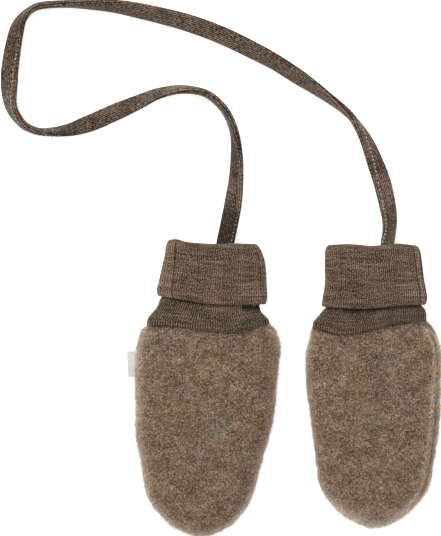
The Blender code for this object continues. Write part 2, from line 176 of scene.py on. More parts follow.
# Partly the wool's uneven tone, partly painted shade and painted light from how the lamps fall.
STRAP_TONE_AND_PAINTED_SHADE = (  # row of the route, and how much paler its cloth is there
    (0, -0.5), (3.2, -0.5), (4, -0.1), (5, -0.14), (6, -0.58), (7, -0.34), (8, -0.18),
    (9.2, -0.08), (10, 0.12), (11, -0.1), (12, -0.16), (13.5, -0.02), (15, -0.36), (16, -0.1),
    (17, -0.14), (18, -0.05), (19.5, -0.12), (20.5, -0.08), (21, -0.14), (22, -0.28), (23, -0.23),
    (24, -0.08), (27, -0.15), (29, 0.02), (30, -0.06), (32, 0.02), (34, -0.1), (36, -0.06),
    (38, -0.05), (39.3, 0.0), (40, 0.15), (41, 0.0), (42, -0.2), (43, 0.02), (44, -0.05),
    (45, -0.12), (46, 0.0),
)
SEAM_AT = 0.179  # share of the way round, beside the chain stitch
SEAM_HALF_WIDTH = 0.016
# Painted shade in the fold along the seam.
SEAM_PAINTED_SHADE = (  # row of the route, and how much darker the seam is
    (0, 0.1), (3, 0.1), (4, 0.6), (6.2, 0.9), (6.8, 0), (12, 0), (14, 0.2), (48, 0.2),
)
BEYOND_SEAM = 0.8  # share of the way round, from which the lap beyond the seam starts
# Painted light on the lap beyond the seam, which turns away from the lamps.
PAINTED_LIGHT_BEYOND_SEAM = (  # row of the route, and how much paler the lap beyond the seam is
    (3.3, 0.0), (4.0, 0.15), (5.0, 0.2), (6.0, 0.18), (6.6, 0.15), (8.2, 0.0),
)
# Painted shade on faces and folds turned from the lamps, and painted highlights along edges.
PAINTED_LINE_FADE = 0.7  # rows
STRAP_PAINTED_LINES = (  # first and last row, share of the way round, half width, and how much paler
    (9.0, 12.8, 0.04, 0.035, -0.35),
    (9.0, 12.4, -0.035, 0.014, 0.3),
    (33.0, 37.0, 0.0, 0.04, -0.35),
    (36.0, 40.4, 0.08, 0.09, -0.35),
    (36.6, 39.8, -0.03, 0.012, 0.45),
)


def read_table(table, place, column=1):
    """A column of a table, on straight lines between its rows, at places in its first column."""
    table = np.asarray(table, float)
    return np.interp(place, table[:, 0], table[:, column])


def blend(start, end, share):
    """The value at this share of the way from start to end."""
    return start + (end - start) * share


def hill(away, run):
    """1 at no distance, and falling off smoothly to about a third at this run."""
    return np.exp(-((away / run) ** 2))


def smooth_rows(rows, place):
    """A table's rows at places such as 2.5, half-way from rows[2] to rows[3], on a smooth curve."""
    rows = np.asarray(rows, float)
    place = np.clip(np.asarray(place, float), 0, len(rows) - 1)
    first = np.minimum(place.astype(int), len(rows) - 2)
    t = (place - first).reshape(place.shape + (1,) * (rows.ndim - 1))
    a, b, c, d = (rows[np.clip(first + k, 0, len(rows) - 1)] for k in (-1, 0, 1, 2))
    return 0.5 * (
        2 * b + (c - a) * t + (2 * a - 5 * b + 4 * c - d) * t**2 + (3 * b - a - 3 * c + d) * t**3
    )


def bumps(points, size, seed=0):
    """Smooth random heights of about -1 to 1 at points in millimetres, with hills of this size."""
    offset = Vector((seed * 17.3, seed * 5.1, seed * 29.7))
    return np.array([noise.noise(Vector(p) / size + offset) for p in points.reshape(-1, 3)])


def wrapped_cloth(name, around, along, placed, close_ends=True):
    """A tube of cloth from a flat grid, whose UV map runs 0 to 1 round it and along it.

    placed(u, v) gives the points in millimetres.
    """
    bm = bmesh.new()
    bm.loops.layers.uv.new("UVMap")
    bmesh.ops.create_grid(bm, x_segments=around, y_segments=along, size=0.5, calc_uvs=True)
    flat = np.array([v.co[:2] for v in bm.verts]) + 0.5
    for vert, point in zip(bm.verts, placed(flat[:, 0], flat[:, 1])):
        vert.co = point
    bmesh.ops.remove_doubles(bm, verts=bm.verts, dist=0.0005)
    if close_ends:
        open_edges = [edge for edge in bm.edges if edge.is_boundary]
        bmesh.ops.holes_fill(bm, edges=open_edges, sides=0)
    bmesh.ops.recalc_face_normals(bm, faces=bm.faces)
    bmesh.ops.scale(bm, vec=(0.001, 0.001, 0.001), verts=bm.verts)
    mesh = bpy.data.meshes.new(name)
    bm.to_mesh(mesh)
    bm.free()
    mesh.shade_smooth()
    return in_scene(name, mesh)


def shade_cloth(piece, paleness):
    """Write how much paler the knit is, which paleness(u, v) gives, at each corner of each face."""
    uv = np.zeros(2 * len(piece.data.loops))
    piece.data.uv_layers["UVMap"].data.foreach_get("uv", uv)
    layer = piece.data.attributes.new("paleness", "FLOAT", "CORNER")
    layer.data.foreach_set("value", paleness(uv[0::2], uv[1::2]).astype(np.float32))


def strap_frame(share):
    """The strap at shares of its length: its middle, two axes, its thickness and its width.

    The first axis runs across its face, to the right of travel, and the second out of its face.
    """
    place = np.asarray(share) * STRAP_LAST_ROW
    here = smooth_rows(STRAP_ROUTE, place)
    ahead = smooth_rows(STRAP_ROUTE, place + 0.1) - smooth_rows(STRAP_ROUTE, place - 0.1)
    along = ahead[:, :2] / np.linalg.norm(ahead[:, :2], axis=1)[:, None]
    right = np.stack([along[:, 1], -along[:, 0], 0 * place], 1)
    roll = np.radians(here[:, 2])
    thickness = blend(STRAP_FLAT_THICKNESS, STRAP_EDGE_THICKNESS, np.sin(roll) ** 2)
    laid_flat = np.interp(place, GATHERED_AT, GATHERED_TO)
    girth = 2 * (laid_flat - STRAP_FLAT_THICKNESS) + math.pi * STRAP_FLAT_THICKNESS
    flat = (girth - math.pi * thickness) / 2
    rise = thickness / 2 + np.abs(np.sin(roll)) * flat / 2 + np.maximum(here[:, 3], 0)
    centre = np.stack([here[:, 0], here[:, 1], rise], 1)
    up = np.array([0, 0, 1.0])
    across = np.cos(roll)[:, None] * right - np.sin(roll)[:, None] * up
    face_up = np.sin(roll)[:, None] * right + np.cos(roll)[:, None] * up
    return centre, across, face_up, thickness, flat + thickness


def strap_section(angle):
    """The section of the pressed tube, an oval with flattened sides in a box from -1 to 1."""
    side, up = np.cos(angle), np.sin(angle)
    return np.sign(side) * np.abs(side) ** (2 / 3), np.sign(up) * np.abs(up) ** (2 / 3)


def evenly_round(u):
    """The angle at each share of the way round the section, so that the knit isn't stretched."""
    angle = np.linspace(0, 2 * math.pi, 8001)
    side, up = strap_section(angle)
    step = np.hypot(np.diff(side) * STRAP_WIDTH, np.diff(up) * STRAP_FLAT_THICKNESS)
    way = np.concatenate([[0], np.cumsum(step)])
    return np.interp(u, way / way[-1], angle)


def strap_point(u, v):
    """The strap's surface, at shares of the way round it and along it."""
    centre, across, face_up, thickness, width = strap_frame(v)
    side, up = strap_section(evenly_round(u))
    side, up = side * width / 2, up * thickness / 2
    return centre + across * side[:, None] + face_up * up[:, None]


def strap_paleness(u, v):
    """How much lighter the knit is, with painted light and shade along it and at folds and seam."""
    row = v * STRAP_LAST_ROW
    shade = read_table(STRAP_TONE_AND_PAINTED_SHADE, row)
    shade += read_table(PAINTED_LIGHT_BEYOND_SEAM, row) * ((u < SEAM_AT) | (u > BEYOND_SEAM))
    for first, last, at, half_width, paler in STRAP_PAINTED_LINES:
        ends = (first, first + PAINTED_LINE_FADE, last - PAINTED_LINE_FADE, last)
        away = (u - at + 0.5) % 1 - 0.5
        shade += paler * np.interp(row, ends, (0, 1, 1, 0)) * hill(away, half_width)
    return shade - read_table(SEAM_PAINTED_SHADE, row) * hill(u - SEAM_AT, SEAM_HALF_WIDTH)


class Nodes:
    """The nodes of one material, wired up from its shader backwards."""

    def __init__(self, name, roughness, sheen, sheen_tint):
        self.material = bpy.data.materials.new(name)
        self.material.use_nodes = True
        self.tree = self.material.node_tree
        self.shader = self.tree.nodes["Principled BSDF"]
        self.shader.inputs["Roughness"].default_value = roughness
        self.shader.inputs["Specular IOR Level"].default_value = 0.2
        self.shader.inputs["Sheen Weight"].default_value = sheen
        self.shader.inputs["Sheen Roughness"].default_value = 0.5
        self.shader.inputs["Sheen Tint"].default_value = (*sheen_tint, 1.0)

    def add(self, kind, output, links=(), **values):
        """A node with some inputs linked and others set. Returns the output asked for."""
        node = self.tree.nodes.new(kind)
        for key, value in values.items():
            setattr(node, key, value)
        for key, value in dict(links).items():
            if isinstance(value, bpy.types.NodeSocket):
                self.tree.links.new(value, node.inputs[key])
            else:
                node.inputs[key].default_value = value
        return node.outputs[output]

    def sum(self, operation, *values):
        """A Math node."""
        return self.add("ShaderNodeMath", 0, enumerate(values), operation=operation)

    def attribute(self, name):
        return self.add("ShaderNodeAttribute", "Fac", attribute_name=name)

    def clamped(self, value):
        return self.add("ShaderNodeClamp", 0, {"Value": value})

    def scaled(self, vector, scale):
        links = {"Vector": vector, "Scale": scale}
        return self.add("ShaderNodeMapping", 0, links)

    def cloud(self, vector, size=1.0, detail=2.0, rough=0.5):
        """Noise with clouds of this size."""
        links = {"Vector": vector, "Scale": 1 / size, "Detail": detail, "Roughness": rough}
        return self.add("ShaderNodeTexNoise", 0, links)

    def away_from_half(self, value, times):
        return self.sum("MULTIPLY", self.sum("SUBTRACT", value, 0.5), times)

    def ramp(self, value, stops):
        """A colour for each value, between stops of a place and a colour."""
        node = self.tree.nodes.new("ShaderNodeValToRGB")
        self.tree.links.new(value, node.inputs[0])
        elements = node.color_ramp.elements
        while len(elements) < len(stops):
            elements.new(0.5)
        for element, (place, colour) in zip(elements, stops):
            element.position = place
            element.color = (*colour, 1.0)
        return node.outputs[0]

    def mix(self, share, first, second, blend="MIX"):
        links = {0: share, 6: first, 7: second}
        return self.add("ShaderNodeMix", 2, links, data_type="RGBA", blend_type=blend)

    def tinted(self, colour, cloud, cool, warm):
        """The colour times a cool or a warm tint, as the cloud says."""
        return self.mix(1.0, colour, self.ramp(cloud, ((0.3, cool), (0.7, warm))), "MULTIPLY")

    def finish(self, colour, height, strength, distance):
        """The material, with this colour and this height as its bump, in millimetres."""
        self.tree.links.new(colour, self.shader.inputs["Base Color"])
        links = {"Height": height, "Strength": strength, "Distance": distance / 1000}
        self.tree.links.new(self.add("ShaderNodeBump", 0, links), self.shader.inputs["Normal"])
        return self.material


STITCH_SLANT = 0.9
STITCH_HEIGHT = 0.4
HOLLOW_DEPTH = 1.2
YARN_PICKED = 0.66  # only the highest noise is light yarn
RUST_BROWN = (0.20, 0.105, 0.062, 1.0)


def knit_wool(name, stitches, streak, fleck, stops, contrast, dabs, rust, groove):
    """Melange wool knit, with a number of stitches round and along the UV map.

    streak is how long the streaks of one yarn are, and fleck how fine the flecks are each way.
    stops are the dark, middle and light colours. contrast is that of the flecks, the streaks and
    large patches. dabs is how pale the short lengths of light yarn are, rust how red the reddest
    yarns are, and groove how much painted shade darkens the hollows between the stitches.
    """
    knit = Nodes(name, 0.95, 0.2, (0.9, 0.85, 0.80))
    uv = knit.add("ShaderNodeUVMap", 0, uv_map="UVMap")
    place = knit.scaled(uv, (*stitches, 1))
    parts = knit.tree.nodes.new("ShaderNodeSeparateXYZ")
    knit.tree.links.new(place, parts.inputs[0])
    side = knit.sum("ABSOLUTE", knit.sum("SUBTRACT", knit.sum("FRACT", parts.outputs[0]), 0.5))
    slant = knit.sum("ADD", parts.outputs[1], knit.sum("MULTIPLY", side, STITCH_SLANT))
    stitch = knit.sum("SINE", knit.sum("MULTIPLY", slant, 2 * math.pi))
    hollow = knit.sum("POWER", knit.sum("MULTIPLY", side, 2.0), 2.0)
    height = knit.sum("MULTIPLY", stitch, STITCH_HEIGHT)
    height = knit.sum("SUBTRACT", height, knit.sum("MULTIPLY", hollow, HOLLOW_DEPTH))
    flecks = knit.cloud(knit.scaled(place, (*fleck, 1.0)), 0.8, 2.0, 0.7)
    streaks = knit.cloud(knit.scaled(place, (1 / streak, 1.0, 1.0)), 2.3, 1.0)
    yarns = knit.cloud(knit.scaled(place, (0.25 / streak, 1.0, 1.0)), 1.4, 0.0)
    yarns = knit.clamped(knit.sum("SUBTRACT", yarns, YARN_PICKED))
    patches = knit.cloud(knit.add("ShaderNodeTexCoord", "Object"), 0.008, 1.0)
    pale = knit.attribute("paleness")
    shade = knit.sum("ADD", knit.sum("MULTIPLY", stitch, 0.04), 0.5 + groove / 3)
    dab = knit.sum("SUBTRACT", dabs, knit.sum("MULTIPLY", hollow, 1.25 * dabs))
    shade = knit.sum("ADD", shade, knit.sum("MULTIPLY", yarns, dab))
    for cloud, strength in zip((flecks, streaks, patches), contrast):
        shade = knit.sum("ADD", shade, knit.away_from_half(cloud, strength))
    # Painted shade in the hollows between the stitches; groove / 3 above keeps the mean tone.
    shade = knit.sum("SUBTRACT", shade, knit.sum("MULTIPLY", hollow, groove))
    colour = knit.ramp(knit.sum("ADD", shade, pale), stops)
    redder = knit.cloud(knit.scaled(place, (1.2 / streak, 0.8, 1.0)), 2.0, 1.0)
    redder = knit.clamped(knit.away_from_half(redder, rust))
    colour = knit.mix(redder, colour, RUST_BROWN)
    bands = knit.cloud(knit.scaled(place, (1 / streak, 1.0, 1.0)), 7.0, 1.0)
    colour = knit.tinted(colour, bands, (1.0, 1.0, 1.06), (1.04, 1.0, 0.90))
    bands = knit.cloud(knit.scaled(place, (0.7 / streak, 0.7, 3.0)), 7.0, 1.0)
    colour = knit.tinted(colour, bands, (0.97, 1.01, 0.97), (1.05, 0.985, 1.02))
    return knit.finish(colour, height, 0.8, 0.12)


strap_jersey = knit_wool(
    "strap_jersey",
    stitches=(22, 700),
    streak=0.4,
    fleck=(1.9, 0.6),
    stops=(
        (0.0, (0.009, 0.0054, 0.0026)),
        (0.5, (0.0255, 0.0165, 0.0091)),
        (1.0, (0.237, 0.180, 0.131)),
    ),
    contrast=(3.4, 1.3, 0.7),
    dabs=0.8,
    rust=1.4,
    groove=1.1,
)
strap = wrapped_cloth("strap_tube", STRAP_POINTS_ROUND, STRAP_RINGS, strap_point)
shade_cloth(strap, strap_paleness)
strap_line = strap_frame(np.linspace(0, 1, STRAP_LINE_POINTS))[0]
strap_steps = np.linalg.norm(np.diff(strap_line, axis=0), axis=1)
strap_length = strap_steps.sum()
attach(strap, "root")
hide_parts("strap")
strap.data.materials.append(strap_jersey)

CHAIN_PITCH = 2.1
CHAIN_RUN = (0.02, 0.98)  # shares of the strap's length
CHAIN_SIDE = (  # row of the route, and how far to the right of the face's middle the stitch runs
    (0, 3.0), (2, 3.0), (3.4, 3.7), (6, 3.7), (7.5, 1.0), (11, 1.0), (13, 2.0), (18, 2.4),
    (19, 2.1), (20.3, 2.0), (21, 2.9), (36, 1.3), (42, 1.3), (43, 2.1), (44, 2.7),
)
CHAIN_SIZE = (  # row of the route, and how large the links are, as the stitch sinks into the knit
    (0, 0.6), (7, 0.6), (9, 1.0), (20.6, 1.0), (21.4, 0.4), (34, 0.4), (38, 1.0), (48, 1.0),
)
CHAIN_TILT = math.radians(28)  # every other link leans the other way
CHAIN_LIFT = 0.08
LINK_LENGTH = 1.0
LINK_WIDTH = 0.5
THREAD_THICKNESS = 0.34


def repeated(name, shape, points):
    """Many copies of one small shape, from each one's points in millimetres.

    The faces are sorted, because bmesh's spin gives them in another order in each run.
    """
    faces = np.array(sorted([v.index for v in face.verts] for face in shape.faces))
    faces = faces + np.arange(len(points))[:, None, None] * len(shape.verts)
    mesh = bpy.data.meshes.new(name)
    mesh.from_pydata(
        (points.reshape(-1, 3) / 1000).tolist(), [], faces.reshape(-1, faces.shape[2]).tolist()
    )
    mesh.shade_smooth()
    return in_scene(name, mesh)


def thread_loop():
    """One link of a chain stitch: a thin ring, lying flat."""
    bm = bmesh.new()
    thin = THREAD_THICKNESS / 2
    ring = bmesh.ops.create_circle(bm, segments=6, radius=thin)["verts"]
    bmesh.ops.rotate(bm, verts=ring, cent=(0, 0, 0), matrix=Matrix.Rotation(math.pi / 2, 3, "Y"))
    bmesh.ops.translate(bm, verts=ring, vec=(0, LINK_WIDTH / 2, 0))
    bmesh.ops.spin(
        bm, geom=bm.edges[:], cent=(0, 0, 0), axis=(0, 0, 1), angle=2 * math.pi, steps=12,
        use_merge=True,
    )
    bmesh.ops.scale(bm, vec=(LINK_LENGTH / LINK_WIDTH, 1, 1), verts=bm.verts)
    bmesh.ops.recalc_face_normals(bm, faces=bm.faces)
    bm.verts.index_update()
    return bm


link = thread_loop()
link_count = int(strap_length / CHAIN_PITCH)
chain_share = np.interp(
    np.linspace(*CHAIN_RUN, link_count),
    np.concatenate([[0], np.cumsum(strap_steps)]) / strap_length,
    np.linspace(0, 1, STRAP_LINE_POINTS),
)
centre, across, face_up, thickness, width = strap_frame(chain_share)
chain_row = chain_share * STRAP_LAST_ROW
chain_side = read_table(CHAIN_SIDE, chain_row)
on_face = (1 - np.abs(2 * chain_side / width) ** 3) ** (1 / 3) * thickness / 2
chain_centre = centre + across * chain_side[:, None] + face_up * (on_face + CHAIN_LIFT)[:, None]
along = np.cross(face_up, across)
tilt = np.where(np.arange(link_count) % 2, CHAIN_TILT, -CHAIN_TILT)[:, None]
chain_along = np.cos(tilt) * along + np.sin(tilt) * across
chain_axes = np.stack([chain_along, np.cross(face_up, chain_along), face_up], 1)
chain_axes *= read_table(CHAIN_SIZE, chain_row)[:, None, None]
link_shape = np.array([v.co[:] for v in link.verts])
link_points = chain_centre[:, None, :] + np.einsum("vk,nkd->nvd", link_shape, chain_axes)
chain = repeated("strap_chain_stitch", link, link_points)
link.free()
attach(chain, "root")
thread = Nodes("beige_thread", 0.7, 0.3, (1.0, 0.95, 0.85))
thread_twist = thread.cloud(thread.add("ShaderNodeTexCoord", "Object"), 0.0016, 1.0)
chain.data.materials.append(
    thread.finish(
        thread.ramp(thread_twist, ((0.33, (0.08, 0.06, 0.04)), (0.60, (0.44, 0.34, 0.25)))),
        thread_twist,
        0.5,
        0.1,
    )
)

# ---- Rib cuffs ----
# Each cuff is a tube of fine rib knit in darker wool. One end is sewn to the mitten's wrist. The
# other is turned back once on the outside, so that its selvedge lies above the wrist.
WRIST_SEAM_GAP = 0.1
CUFF_WALL = 1.3
LAYER_GAP = 0.3
OUTSIDE = 2 * CUFF_WALL + LAYER_GAP
MOUTH_AT_SIDES = 0.6
MOUTH_IN_MIDDLE = 3.3
MOUTH_FLATNESS = 6
STAND_SAG = 0.4
RIBS = 50
COLUMNS_PER_RIB = 5
RIB_HEIGHT = 0.35
HOLLOW_UNDERNEATH = 0.3
GROOVE_HALF_WIDTH = 0.3  # ribs
# Painted shade in the cuffs' lengthwise grooves.
GROOVE_PAINTED_SHADE_HALF_WIDTH = 0.33
GROOVE_PAINTED_SHADE = 0.5
GROOVE_ON_STAND = 0.3
GROOVE_MEAN, GROOVE_CHANGE = 0.75, 0.9  # shares of its depth
CORNER_HALF_WIDTH = 3.2
# place is the middle of the wrist. fold, free_edge and seam are how far those lines lie above it at
# five places from left to right. Ribs are counted from the left, along the top.
CUFFS = {
    "left": {
        "place": (-40.2, 30.45),
        "fold": (46.7, 45.5, 44.7, 44.9, 44.7),
        "free_edge": (17.0, 14.8, 12.8, 12.4, 12.65),
        "seam": (1.0, 0.8, -1.5, -2.3, 2.3),
        "turned_back": (  # down from the fold, reach to the left, reach to the right
            (0.0, 20.3, 26.7),
            (0.1, 20.9, 28.2),
            (0.3, 21.7, 30.5),
            (0.5, 22.9, 30.9),
            (0.7, 24.3, 31.0),
            (0.88, 25.8, 31.3),
            (1.0, 25.1, 30.7),
        ),
        "stand": (
            (1.0, 23.8, 27.6),
            (1.3, 24.9, 27.6),
            (1.5, 27.6, 29.7),
            (1.7, 30.4, 32.0),
            (2.0, 31.2, 32.8),
        ),
        "grooves": (  # rib at the fold, rib at the free edge, and depth
            (5.9, 8.1, 0.9),
            (17.0, 18.7, 0.45),
            (29.4, 29.6, 0.25),
            (45.6, 46.4, 0.4),
        ),
        "strips": (  # first and last rib at the fold, the same at the free edge, and how much paler
            (-1, 5.6, -1, 7.8, 0.17),
        ),
        "dents": (  # place on the stand, size and depth
            (24.7, 11.0, 3.0, 1.6),
            (-8.0, 8.0, 5.0, 0.5),
        ),
        # Painted shadow under the free edge.
        "shadows": (  # rib, and how much darker the stand is at the free edge and a little below it
            (0, 0.15, 0.0), (21, 0.15, 0.0), (24, 0.0, -0.3), (40.5, 0.0, -0.3), (41.5, 1.05, 0.7),
        ),
        # Painted shadow along the wrist seam.
        "wrist_shadows": (0.12, 0.1),  # how much darker the knit and the fleece are at their seam
        "corner_rise": 0.9,
        "cut": (0.128, 0.082),
        "cut_area": 0.0096,
    },
    "right": {
        "place": (46.7, 30.45),
        "fold": (44.2, 44.6, 43.7, 44.8, 43.9),
        "free_edge": (11.4, 10.5, 10.6, 12.1, 12.35),
        "seam": (0.0, -3.4, -1.1, 2.6, 3.9),
        "turned_back": (
            (0.0, 24.5, 23.2),
            (0.1, 25.2, 24.1),
            (0.3, 25.1, 25.1),
            (0.5, 24.9, 25.7),
            (0.7, 25.3, 26.7),
            (0.88, 26.3, 27.6),
            (1.0, 27.0, 26.9),
        ),
        "stand": (
            (1.0, 25.2, 25.4),
            (1.3, 27.5, 26.7),
            (1.5, 29.5, 27.2),
            (1.7, 31.4, 27.3),
            (2.0, 31.7, 27.3),
        ),
        "grooves": ((9, 9, 0.25), (22.3, 22.3, 0.3), (34.5, 34.5, 0.2), (44.9, 45.4, 0.6)),
        "strips": ((45.3, 47.5, 45.8, 47.7, 0.2), (47.5, 51, 47.7, 51, -0.6)),
        "dents": ((-12.0, 9.0, 4.0, 0.9), (12.0, 9.5, 5.0, 0.4)),
        # Painted shadow under the free edge.
        "shadows": (
            (9, 0.25, -0.03), (11, 0.6, 0.5), (16, 0.6, 0.5), (19, 0.6, 0.25), (24, 0.5, 0.15),
            (26, 0.3, 0.0),
        ),
        # Painted shadow along the wrist seam.
        "wrist_shadows": (0.35, 0.32),
        "corner_rise": 0.0,
        "cut": (0.120, 0.080),
        "cut_area": 0.0088,
    },
}
# The wall, followed once round its section. Down is 0 at the fold, 1 at the free edge and 2 at the
# wrist. Then come the distance out from the mouth, a shift towards +Y, the share of the ribs'
# height, and the number of rows of faces up to the next line.
CUFF_WALL_LINE = (
    (2.0, 0.0, WRIST_SEAM_GAP / 2, 0.0, 6),
    (1.2, 0.0, 0.0, 0.0, 12),
    (0.1, 0.0, 0.0, 0.0, 4),
    (0.0, 0.4, -0.8, 0.2, 2),
    (0.0, 1.45, 0.0, 0.6, 2),
    (0.0, 2.5, -0.8, 0.9, 3),
    (0.1, OUTSIDE, 0.0, 1.0, 13),
    (0.5, OUTSIDE, 0.0, 1.0, 13),
    (0.88, OUTSIDE, 0.0, 1.0, 5),
    (1.0, OUTSIDE - 0.2, 0.2, 0.8, 2),
    (1.0, OUTSIDE - CUFF_WALL + 0.2, 0.2, 0.0, 2),
    (0.9, OUTSIDE - CUFF_WALL, 0.0, 0.0, 8),
    (0.1, OUTSIDE - CUFF_WALL, 0.0, 0.0, 3),
    (0.0, CUFF_WALL + LAYER_GAP / 2, -1.7, 0.0, 3),
    (0.1, CUFF_WALL, 0.0, 0.0, 8),
    (0.9, CUFF_WALL, 0.0, 0.0, 2),
    (0.98, CUFF_WALL - 0.7, 0.0, 0.0, 2),
    (1.04, CUFF_WALL - 0.6, 0.0, 0.4, 2),
    (1.12, CUFF_WALL, 0.0, 0.9, 7),
    (1.5, CUFF_WALL, 0.0, 1.0, 10),
    (2.0, CUFF_WALL, WRIST_SEAM_GAP / 2, 0.8, 2),
)


def across_line(line, left, right, x):
    """The +Y of a line of five heights that runs from left to right."""
    return smooth_rows(line, (len(line) - 1) * (x - left) / (right - left))


def half_oval(left, right, radius, share):
    """Points, and the way outwards, on the upper half of a flattened oval, from left to right."""
    flat = left + right - 2 * radius
    corner = math.pi * radius / 2
    way = share * (flat + 2 * corner)
    angle = math.pi / 2 + np.clip((corner - way) / radius, 0, None) - np.clip(
        (way - corner - flat) / radius, 0, None
    )
    x = np.clip(way - corner, 0, flat) - left + radius + radius * np.cos(angle)
    return x, radius * np.sin(angle), np.cos(angle), np.sin(angle)


def cuff_wall():
    """The wall's line with its rows of faces in between."""
    rows = []
    following = CUFF_WALL_LINE[1:] + CUFF_WALL_LINE[:1]
    for start, end in zip(CUFF_WALL_LINE, following):
        for step in range(start[4]):
            rows.append(np.array(start[:4]) + (np.array(end[:4]) - start[:4]) * step / start[4])
    return rows


def groove_depth(cuff, rib, down, half_width):
    """How deep the lengthwise grooves are at each rib, this far down the wall.

    A groove runs straight from its rib at the fold through its rib at the free edge, and is now
    deeper and now shallower on its way.
    """
    depth = 0 * rib
    for at_fold, at_edge, deepest in cuff["grooves"]:
        fade = GROOVE_MEAN + GROOVE_CHANGE * noise.noise(Vector((at_fold * 3.1, down * 4, 0)))
        depth += deepest * fade * hill(rib - blend(at_fold, at_edge, down), half_width)
    return depth * (1 if down <= 1 else GROOVE_ON_STAND)


def cuff_points(cuff):
    """One ring of points for each row of the wall, rounded off a little where the wall turns."""
    columns = 2 * RIBS * COLUMNS_PER_RIB
    column = np.arange(columns)
    on_top = column <= columns / 2
    share = np.where(on_top, column / (columns / 2), 2 - column / (columns / 2))
    rib = share * RIBS
    ribbed_by = 1 - np.abs(2 * (rib % 1) - 1) ** 3
    rings = []
    for down, out, shift, ribbed in cuff_wall():
        groove = groove_depth(cuff, rib, down, GROOVE_HALF_WIDTH)
        upper, lower = ("fold", "free_edge") if down <= 1 else ("free_edge", "seam")
        table = np.array(cuff["turned_back" if down <= 1 else "stand"])
        wide_left, wide_right = (np.interp(down, table[:, 0], table[:, k]) for k in (1, 2))
        inset = OUTSIDE - out if down <= 1 else CUFF_WALL - out
        left, right = wide_left - inset, wide_right - inset
        radius = MOUTH_AT_SIDES / 2 + out
        floor_height = OUTSIDE - out - STAND_SAG * max(0.0, down - 1)
        x, z, out_x, out_z = half_oval(left, right, radius, share)
        middle, reach = (right - left) / 2, (left + right) / 2
        open_share = 1 - np.minimum(1, np.abs((x - middle) / reach)) ** MOUTH_FLATNESS
        high = RIB_HEIGHT * ribbed_by - groove
        low = -HOLLOW_UNDERNEATH * (1 - ribbed_by)
        raised = ribbed * np.where(on_top, high, low)
        z = np.where(on_top, z + (MOUTH_IN_MIDDLE - MOUTH_AT_SIDES) * open_share, -z)
        x = x + raised * out_x
        z = z + raised * np.where(on_top, out_z, -out_z)
        heights = [
            across_line(cuff[line], -wide_left, wide_right, x) for line in (upper, lower)
        ]
        y = blend(*heights, down if down <= 1 else down - 1) + shift
        if down <= 1:
            at_corner = hill(x + left - CORNER_HALF_WIDTH, CORNER_HALF_WIDTH)
            y += cuff["corner_rise"] * (1 - down) ** 4 * at_corner
        rings.append(np.stack([x, y, floor_height + radius + z], 1))
    rings = np.array(rings)
    for _ in range(2):
        rings = (np.roll(rings, 1, 0) + 2 * rings + np.roll(rings, -1, 0)) / 4
    return rings, on_top


# Painted shade between the ribs and painted light on their crowns, about even over each rib.
RIB_PAINTED_SHADE_MEAN = 0.3
RIB_PAINTED_SHADE_ON_STAND = 0.3
RIB_PAINTED_SHADE_AT_FOLD = ((0.15, 0.15), (0.35, 0.0))  # down, and strength
FREE_EDGE_PALER = ((0.9, 0.0), (1.0, 0.06))
UNDER_EDGE = (0.9, 1.26)  # down
# Painted shadow on the stand under the free edge.
UNDER_EDGE_PAINTED_SHADOW = 0.11
STAND_DARKER = 0.13
SHADOW_AT_EDGE = ((0.9, 0.0), (1.0, 1.0), (1.1, 0.0))  # down, and share
SHADOW_BELOW_EDGE = ((1.0, 0.0), (1.07, 1.0), (1.14, 0.8), (1.26, 0.0))
SHADOW_AT_WRIST = ((1.92, 0.0), (1.98, 1.0))


def cuff_paleness(cuff):
    """How much lighter the knit is at each point of the rings.

    It is paler on its strips and at the free edge, and darker on the stand. Painted shade
    darkens its grooves and the valleys between the ribs, with painted light on the ribs' crowns,
    and painted shadow darkens the stand under the free edge and along the wrist seam.
    """
    rib = np.arange(2 * RIBS * COLUMNS_PER_RIB) / COLUMNS_PER_RIB
    valley = np.abs(2 * (rib % 1) - 1) ** 2 - RIB_PAINTED_SHADE_MEAN
    at_edge, below_edge = (read_table(cuff["shadows"], rib, column) for column in (1, 2))
    at_wrist, _ = cuff["wrist_shadows"]
    pale = []
    for down, out, _, _ in cuff_wall():
        # Painted shade in the grooves.
        shade = -GROOVE_PAINTED_SHADE * groove_depth(cuff, rib, down, GROOVE_PAINTED_SHADE_HALF_WIDTH)
        for fold_first, fold_last, edge_first, edge_last, paler in cuff["strips"]:
            first, last = blend(fold_first, edge_first, down), blend(fold_last, edge_last, down)
            shade += paler * (down <= 1) * ((rib > first) & (rib < last))
        shade -= valley * (RIB_PAINTED_SHADE_ON_STAND if down > 1 else read_table(RIB_PAINTED_SHADE_AT_FOLD, down))
        if down <= 1 and out > OUTSIDE - 0.5:
            pale.append(shade + read_table(FREE_EDGE_PALER, down))
        elif UNDER_EDGE[0] < down < UNDER_EDGE[1] and out > 0:
            shadow = at_edge * read_table(SHADOW_AT_EDGE, down)
            shadow += below_edge * read_table(SHADOW_BELOW_EDGE, down)
            pale.append(shade - shadow - UNDER_EDGE_PAINTED_SHADOW)
        else:
            pale.append(shade - STAND_DARKER - at_wrist * read_table(SHADOW_AT_WRIST, down))
    return np.array(pale)


CUFF_HILLS = (1 / 14, 1 / 26, 1 / 30)  # to the millimetre along X, Y and Z
CUFF_HILL_HEIGHT = 0.5
SIDE_WAVES = (0.3, 1, 1)
SIDE_WAVE_SIZE = 9.0
SIDE_WAVE_DEPTH = 0.3
TOP_FROM = 4.0
DENTED_FROM, DENTED_TO = 5.0, 8.4


